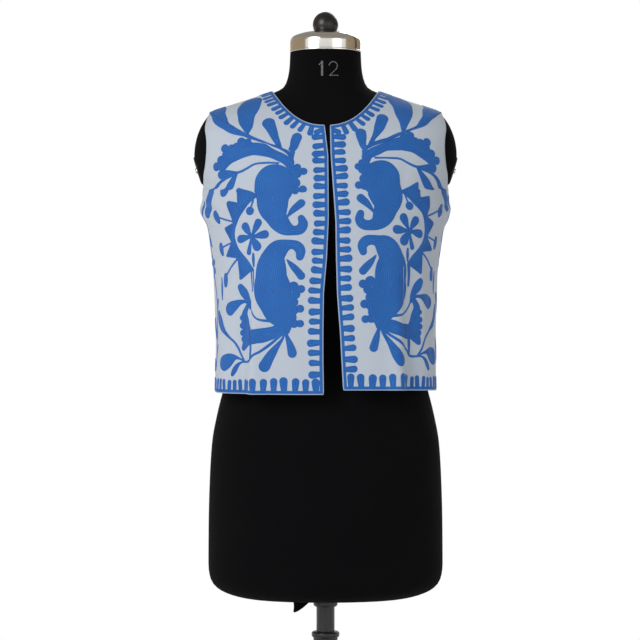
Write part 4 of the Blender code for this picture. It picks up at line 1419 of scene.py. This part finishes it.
def back_field(panel):
    """The stitching of the back: its two borders with teeth, then its motifs."""
    field = Field(panel, BACK_PITCH)
    hem, neck = panel.flat[0, ::-1], panel.flat[-1]
    for line, shape, pitch in ((hem, HEM_TOOTH, BACK_HEM_PITCH), (neck, NECK_TOOTH, NECK_PITCH)):
        field.lay(border_band(line))
        for tooth in teeth(line, TOOTH_END, TOOTH_END, pitch, shape, 0.5):
            field.lay(curve_through(tooth))
    for k, motif in enumerate(back_motifs()):
        field.lay(unsteady(curve_through(motif), 0.37 * k))
    for line in (hem, neck):
        field.trim(line, EDGE_MARGIN)
    for line in (panel.flat[:, 0], panel.flat[:, -1]):
        field.trim(line, SEAM_MARGIN)
    return field


def roll_past(edge, inside):
    """The middle line of a roll that lies against an edge of the cloth."""
    tangent = unit(np.gradient(edge, axis=0))
    out = edge - inside
    out = unit(out - tangent * np.sum(out * tangent, axis=1)[:, None])
    into = np.cross(tangent, out)
    into *= -np.sign(np.sum(into * (edge - np.array(BODY_MIDDLE)), axis=1))[:, None]
    return edge + out * ROLL_OUT + into * CLOTH_THICK / 2


def rolled_edge(left, right, back, material):
    """One thin roll round both fronts, the hem and the neckline."""
    left, right, back = left.points, right.points, back.points
    hem = [
        roll_past(left[0], left[1]),
        roll_past(back[0], back[1])[1:-1],
        roll_past(right[0], right[1])[::-1],
    ]
    neck = [
        roll_past(right[-1], right[-2]),
        roll_past(back[-1], back[-2])[::-1][1:-1],
        roll_past(left[-1], left[-2])[::-1],
    ]
    down = roll_past(left[:, 0], left[:, 1])[::-1]
    up = roll_past(right[:, 0], right[:, 1])
    loop = np.concatenate([down[1:-1], *hem, up[1:-1], *neck])
    tube = bpy.data.curves.new("rolled_edge", "CURVE")
    tube.dimensions = "3D"
    tube.bevel_depth = ROLL_RADIUS
    tube.bevel_resolution = 2
    spline = tube.splines.new("POLY")
    spline.points.add(len(loop) - 1)
    spline.points.foreach_set("co", np.column_stack([loop, np.ones(len(loop))]).ravel())
    spline.use_cyclic_u = True
    return object_from("rolled_edge", tube, material, "edge_cord", ["edge_piping"])


def turned_mesh(name, profile, steps=TURN_STEPS, closed=False):
    """A solid of revolution round Z from (radius, height) points."""
    bm = bmesh.new()
    points = [Vector((radius, 0, height)) for radius, height in profile]
    verts = [bm.verts.new(point) for point in points]
    edges = [bm.edges.new(pair) for pair in zip(verts, verts[1:])]
    if closed:
        edges.append(bm.edges.new((verts[-1], verts[0])))
    bmesh.ops.spin(
        bm,
        geom=verts + edges,
        cent=(0, 0, 0),
        axis=(0, 0, 1),
        angle=2 * math.pi,
        steps=steps,
        use_merge=True,
    )
    bmesh.ops.remove_doubles(bm, verts=bm.verts, dist=0.00001)
    bmesh.ops.recalc_face_normals(bm, faces=bm.faces)
    mesh = mesh_from(bm, name)
    mesh.shade_smooth()
    mesh.set_sharp_from_angle(angle=math.radians(SHARP_ANGLE))
    return mesh


def turned_piece(name, profile, material, slot, stands_for, body="dressed_form", **shape):
    """A solid of revolution in place of one of the stand's or the form's own parts."""
    return object_from(name, turned_mesh(name, profile, **shape), material, slot, [stands_for], body)


def rounded(profile, radius, parts=4):
    """A profile whose inner corners are rounded off, each to this radius or less."""
    points = [np.array(point, float) for point in profile]
    result = [points[0]]
    for before, corner, after in zip(points, points[1:], points[2:]):
        one, two = before - corner, after - corner
        reach = min(radius, 0.45 * np.linalg.norm(one), 0.45 * np.linalg.norm(two))
        start = corner + one / np.linalg.norm(one) * reach
        end = corner + two / np.linalg.norm(two) * reach
        for t in np.linspace(0, 1, parts + 1):
            result.append((1 - t) ** 2 * start + 2 * t * (1 - t) * corner + t * t * end)
    return [tuple(point) for point in [*result, points[-1]]]


def torso_mesh(material):
    """The torso and neck as one loft with the two arm stubs joined on."""
    sides = np.array([(ring.half_width, 0, ring.z_side) for ring in FORM_RINGS])
    at = [0.0]
    for k, gap in enumerate(np.diff(lengths_along(sides))):
        parts = max(1, round(gap / FORM_STEP))
        at += [k + (j + 1) / parts for j in range(parts)]
    bearings = np.linspace(0, 2 * math.pi, FORM_AROUND, endpoint=False)
    loops = np.array([ring_points(ring, bearings) for ring in rings_at(FORM_RINGS, at)])
    faces = grid_faces(len(loops), FORM_AROUND, around=True)
    faces.append(tuple(range(FORM_AROUND))[::-1])
    faces.append(tuple(range((len(loops) - 1) * FORM_AROUND, len(loops) * FORM_AROUND)))
    mesh = bpy.data.meshes.new("torso_cover")
    mesh.from_pydata(loops.reshape(-1, 3).tolist(), [], faces)
    mesh.materials.append(material)
    torso = bpy.data.objects.new("torso_loft", mesh)
    bpy.context.scene.collection.objects.link(torso)
    stubs = [arm_stub(side) for side in (1, -1)]
    for stub in stubs:
        join = torso.modifiers.new(stub.name, "BOOLEAN")
        join.operation = "UNION"
        join.object = stub
    whole = bpy.data.meshes.new_from_object(torso.evaluated_get(bpy.context.evaluated_depsgraph_get()))
    for spare in (torso, *stubs):
        bpy.data.objects.remove(spare)
    whole.name = "torso_cover"
    whole.shade_smooth()
    whole.set_sharp_from_angle(angle=math.radians(TORSO_SHARP))
    return whole


def stub_normal(side):
    """The way that the flat end of an arm stub faces."""
    return Vector((side * math.cos(STUB_TILT), 0, -math.sin(STUB_TILT)))


def stub_end(side):
    """Centre of the stub's flat end, and that oval's half length and half width."""
    normal = stub_normal(side)
    squares = Vector((STUB_RADII.x**2, STUB_RADII.y**2, STUB_RADII.z**2))
    reach = math.sqrt(sum(q * n * n for q, n in zip(squares, normal)))
    shift = Vector(q * n for q, n in zip(squares, normal)) * (STUB_CUT / reach**2)
    centre = Vector((side * STUB_CENTRE.x, STUB_CENTRE.y, STUB_CENTRE.z)) + shift
    share = math.sqrt(1 - (STUB_CUT / reach) ** 2)
    return centre, STUB_RADII.x * STUB_RADII.z / reach * share, STUB_RADII.y * share


def arm_stub(side):
    """An ellipsoid whose lower outer side is cut off flat."""
    bm = bmesh.new()
    bmesh.ops.create_uvsphere(bm, u_segments=72, v_segments=48, radius=1)
    bmesh.ops.scale(bm, vec=STUB_RADII, verts=bm.verts)
    place = Vector((side * STUB_CENTRE.x, STUB_CENTRE.y, STUB_CENTRE.z))
    bmesh.ops.translate(bm, vec=place, verts=bm.verts)
    for vert in bm.verts:
        share = min(1, max(0, (side * vert.co.x - SWELL_FROM) / (SWELL_TO - SWELL_FROM)))
        vert.co.z += STUB_SWELL * share * share * (3 - 2 * share) * (vert.co.z - place.z)
    cut = bmesh.ops.bisect_plane(
        bm,
        geom=bm.verts[:] + bm.edges[:] + bm.faces[:],
        plane_co=place + stub_normal(side) * STUB_CUT,
        plane_no=stub_normal(side),
        clear_outer=True,
    )
    rim = [part for part in cut["geom_cut"] if isinstance(part, bmesh.types.BMEdge)]
    bmesh.ops.contextual_create(bm, geom=rim)
    bmesh.ops.recalc_face_normals(bm, faces=bm.faces)
    stub = bpy.data.objects.new("stub", mesh_from(bm, "stub"))
    bpy.context.scene.collection.objects.link(stub)
    return stub


def arm_fittings(plate_material, screw_material):
    """The oval plate on the end of each arm stub, and the domed screw in its middle."""
    for side, word in ((1, "left"), (-1, "right")):
        centre, half_length, half_width = stub_end(side)
        facing = Matrix.Rotation(side * (math.pi / 2 + STUB_TILT), 4, "Y")
        rim = [(0.90, PLATE_THICK), (1, PLATE_THICK * 0.55), (1, 0)]
        plate = turned_mesh(f"oval_plate_{word}", rounded([(0, PLATE_THICK), *rim, (0, 0)], 0.05))
        size = Matrix.Diagonal((half_length - PLATE_MARGIN, half_width - PLATE_MARGIN, 1, 1))
        plate.transform(facing @ size)
        plate.transform(Matrix.Translation(centre + stub_normal(side) * REST_GAP))
        object_from(plate.name, plate, plate_material, "dark_steel", [f"arm_plate_{word}"])
        angles = np.linspace(0, math.pi / 2, 9)
        dome = [(SCREW_RADIUS * math.sin(a), SCREW_RISE * math.cos(a)) for a in angles]
        screw = turned_mesh(f"dome_screw_{word}", [*dome, (0, 0)], 48)
        lift = stub_normal(side) * (2 * REST_GAP + PLATE_THICK)
        screw.transform(Matrix.Translation(centre + lift) @ facing)
        object_from(screw.name, screw, screw_material, "plated_metal", [f"arm_screw_{word}"])


def neck_fittings(plated, gloss):
    """The plated lid with its rounded rim, and the ball on it."""
    floor = NECK_TOP + REST_GAP
    lid = [
        (0, CAP_TOP),
        (0.022, CAP_TOP - 0.0005),
        (0.040, CAP_TOP - 0.0035),
        (0.0525, CAP_TOP - 0.0080),
        (0.0570, CAP_TOP - 0.0118),
        (CAP_RADIUS, CAP_TOP - 0.0165),
        (CAP_RADIUS, floor + 0.0032),
        (CAP_RADIUS + 0.0005, floor + 0.0026),
        (CAP_RADIUS + 0.0005, floor),
        (0, floor),
    ]
    turned_piece("plated_lid", rounded(lid, 0.004), plated, "plated_metal", "neck_cap", steps=144)
    base = CAP_TOP + REST_GAP
    last = math.acos((base - KNOB_CENTRE) / KNOB_RADIUS)
    angles = np.linspace(0, last, 25)
    ball = [(KNOB_RADIUS * math.sin(a), KNOB_CENTRE + KNOB_RADIUS * math.cos(a)) for a in angles]
    turned_piece("ball_knob", [*ball, (0, base)], gloss, "black_gloss", "knob")


def stand_pieces(steel, iron):
    """Finer turned forms for the tube's collar, the hub and the disc, and steel for the tube and pole."""
    lip = TUBE_TOP + REST_GAP
    middle, half = (COLLAR_TOP + lip) / 2, (COLLAR_TOP - lip) / 2
    collar = [
        (TUBE_BORE, COLLAR_TOP),
        (COLLAR_RADIUS - 0.0030, COLLAR_TOP),
        (COLLAR_RADIUS, middle + half / 2),
        (COLLAR_RADIUS, middle - half),
        (COLLAR_RADIUS - 0.0030, lip - 0.0030),
        (COLLAR_RADIUS - 0.0035, COLLAR_BASE),
        (TUBE_RADIUS + REST_GAP, COLLAR_BASE),
        (TUBE_RADIUS + REST_GAP, lip),
        (TUBE_BORE, lip),
    ]
    bore = TUBE_RADIUS + REST_GAP
    hub = [
        (bore, HUB_TOP),
        (bore + 0.004, HUB_TOP),
        (bore + 0.007, BASE_THICK + 0.012),
        (HUB_RADIUS, BASE_THICK + 0.006),
        (HUB_RADIUS, BASE_THICK + REST_GAP),
        (bore, BASE_THICK + REST_GAP),
    ]
    disc = [
        (0, BASE_THICK),
        (PLATE_RADIUS - 0.010, BASE_THICK),
        (PLATE_RADIUS, BASE_THICK - 0.004),
        (PLATE_RADIUS, 0),
        (0, 0),
    ]
    disc, hub, collar = rounded(disc, 0.006), rounded(hub, 0.003), rounded(collar, 0.0018)
    turned_piece("grip_collar", collar, steel, "dark_steel", "clamp_collar", "stand", closed=True)
    turned_piece("cast_hub", hub, iron, "painted_iron", "base_hub", "stand", closed=True)
    turned_piece("cast_disc", disc, iron, "painted_iron", "base_disc", "stand", steps=192)
    for name in ("stand_tube", "pole", "pole_socket"):
        finish = bpy.data.objects[name].data.materials
        finish.clear()
        finish.append(steel)


def cover_tab_piece(material):
    """The loose end of the stretch cover below the torso, a thin strip that curls a little."""
    top = TORSO_BASE - REST_GAP
    across, down = np.linspace(0, 1, 13), np.linspace(0, 1, 9)
    points = []
    for u in across:
        drop = np.interp(u, TAB_SHARES, TAB_DROPS)
        for v in down:
            x = TAB_LEFT + TAB_WIDTH * u + 0.001 * math.sin(3 * v)
            y = TAB_FRONT + 0.0022 * math.sin(2.2 * v + 2.0 * u) * v
            points.append((x, y, top - drop * v))
    mesh = bpy.data.meshes.new("cover_end")
    mesh.from_pydata(points, [], grid_faces(len(across), len(down)))
    mesh.shade_smooth()
    tab = object_from("cover_end", mesh, material, "black_jersey", ["cover_tab"])
    thicken(tab, TAB_THICK, 0)


def size_print(torso, material):
    """The size number on the front of the neck, as two rows of small printed dots."""
    tree = BVHTree.FromObject(torso, bpy.context.evaluated_depsgraph_get())
    one = [(x, y) for x in (-0.0107, -0.0088) for y in np.linspace(0, 0.0228, 12)]
    one += [(-0.0126, 0.0196), (-0.0142, 0.0180)]
    arc = [(math.cos(a), math.sin(a)) for a in np.linspace(math.radians(170), math.radians(-38), 10)]
    two = [(0.0085 + 0.0066 * c, 0.0160 + 0.0066 * s) for c, s in arc]
    two += [(0.0128 - 0.0100 * t, 0.0102 - 0.0102 * t) for t in np.linspace(0, 1, 6)]
    two += [(x, 0.0) for x in np.linspace(0.0046, 0.0156, 5)]
    bm = bmesh.new()
    for x, up in [*one, *two]:
        spot, normal, _, _ = tree.ray_cast(Vector((x + SIZE_X, -0.5, SIZE_Z + up)), Vector((0, 1, 0)))
        turn = normal.to_track_quat("Z", "Y").to_matrix().to_4x4()
        place = Matrix.Translation(spot + normal * SIZE_RISE / 2) @ turn
        form = {"radius1": SIZE_DOT, "radius2": SIZE_DOT * 0.7, "depth": SIZE_RISE, "matrix": place}
        bmesh.ops.create_cone(bm, segments=12, cap_ends=True, **form)
    object_from("size_number", mesh_from(bm, "size_number"), material, "size_print")


def card(name, x, near, far, low, high, colour):
    """A reflector beside the set, which the plating mirrors and the camera doesn't see."""
    corners = [(x, near, low), (x, far, low), (x, far, high), (x, near, high)]
    mesh = bpy.data.meshes.new(name)
    mesh.from_pydata(corners, [], [(0, 1, 2, 3)])
    screen = object_from(name, mesh, material_named(name, colour, 0.9)[0])
    screen.visible_camera = False


def stage():
    """Floor, camera and light."""
    scene = bpy.context.scene
    bm = bmesh.new()
    bmesh.ops.create_circle(bm, cap_ends=True, segments=96, radius=FLOOR_RADIUS)
    floor = object_from("floor", mesh_from(bm, "floor"), floor_material())

    camera = bpy.data.cameras.new("camera")
    camera.lens = CAMERA_LENS
    camera.sensor_width = CAMERA_SENSOR
    viewer = bpy.data.objects.new("camera", camera)
    viewer.location = CAMERA_PLACE
    viewer.rotation_euler = (math.pi / 2, 0, 0)
    scene.collection.objects.link(viewer)
    scene.camera = viewer

    for values in CARDS:
        card(*values)
    for name, place, target, size, power in LIGHTS:
        light = bpy.data.lights.new(name, "AREA")
        light.shape = "DISK"
        light.size = size
        light.energy = power
        lamp = bpy.data.objects.new(name, light)
        lamp.location = place
        lamp.rotation_euler = (Vector(target) - Vector(place)).to_track_quat("-Z", "Y").to_euler()
        scene.collection.objects.link(lamp)

    world = bpy.data.worlds.new("studio")
    world.use_nodes = True
    tree = world.node_tree
    background = tree.nodes["Background"]
    way = tree.nodes.new("ShaderNodeTexCoord").outputs["Generated"]
    height = node(tree, "SeparateXYZ", way).outputs[2]
    steep = maths(tree, "ABSOLUTE", height)
    share = node(tree, "MapRange", steep, *WORLD_BAND, 0.0, 1.0, interpolation_type="SMOOTHSTEP")
    tree.links.new(mixed(tree, share.outputs[0], WORLD_SIDE, WORLD_TOP), background.inputs[0])
    background.inputs[1].default_value = 1.0
    scene.world = world
    scene.view_settings.view_transform = "Standard"


def main():
    """Builds every piece in turn."""
    left = panel_of("front_left", front_grid(1))
    right = panel_of("front_right", front_grid(-1))
    back = panel_of("back", back_grid())
    cotton, yarn = cotton_material(), chain_stitch_material()
    fields = ((left, front_field(left, 0.0)), (right, front_field(right, 2.0)), (back, back_field(back)))
    jersey = jersey_material()
    plated = metal_material("polished_plating", PLATED, PLATED_SHADE, 0.13, 30.0)
    steel = enamel_material("dark_steel_tube", STEEL, STEEL_LIGHT, 0.36, 900.0)
    iron = enamel_material("powder_coat", IRON, IRON_LIGHT, 0.52, 1500.0)
    gloss = enamel_material("gloss_black", GLOSS, GLOSS_LIGHT, 0.42, 300.0, coat=0.05)

    torso = object_from("torso_cover", torso_mesh(jersey), jersey, "black_jersey", ["form_torso"])
    for panel, field in fields:
        piece = cloth_piece(panel, cotton)
        declare_sheet(panel, [embroidery(panel, field, yarn)])
    rolled_edge(left, right, back, roll_material())
    arm_fittings(steel, plated)
    neck_fittings(plated, gloss)
    stand_pieces(steel, iron)
    cover_tab_piece(jersey)
    size_print(torso, print_material())
    stage()


main()
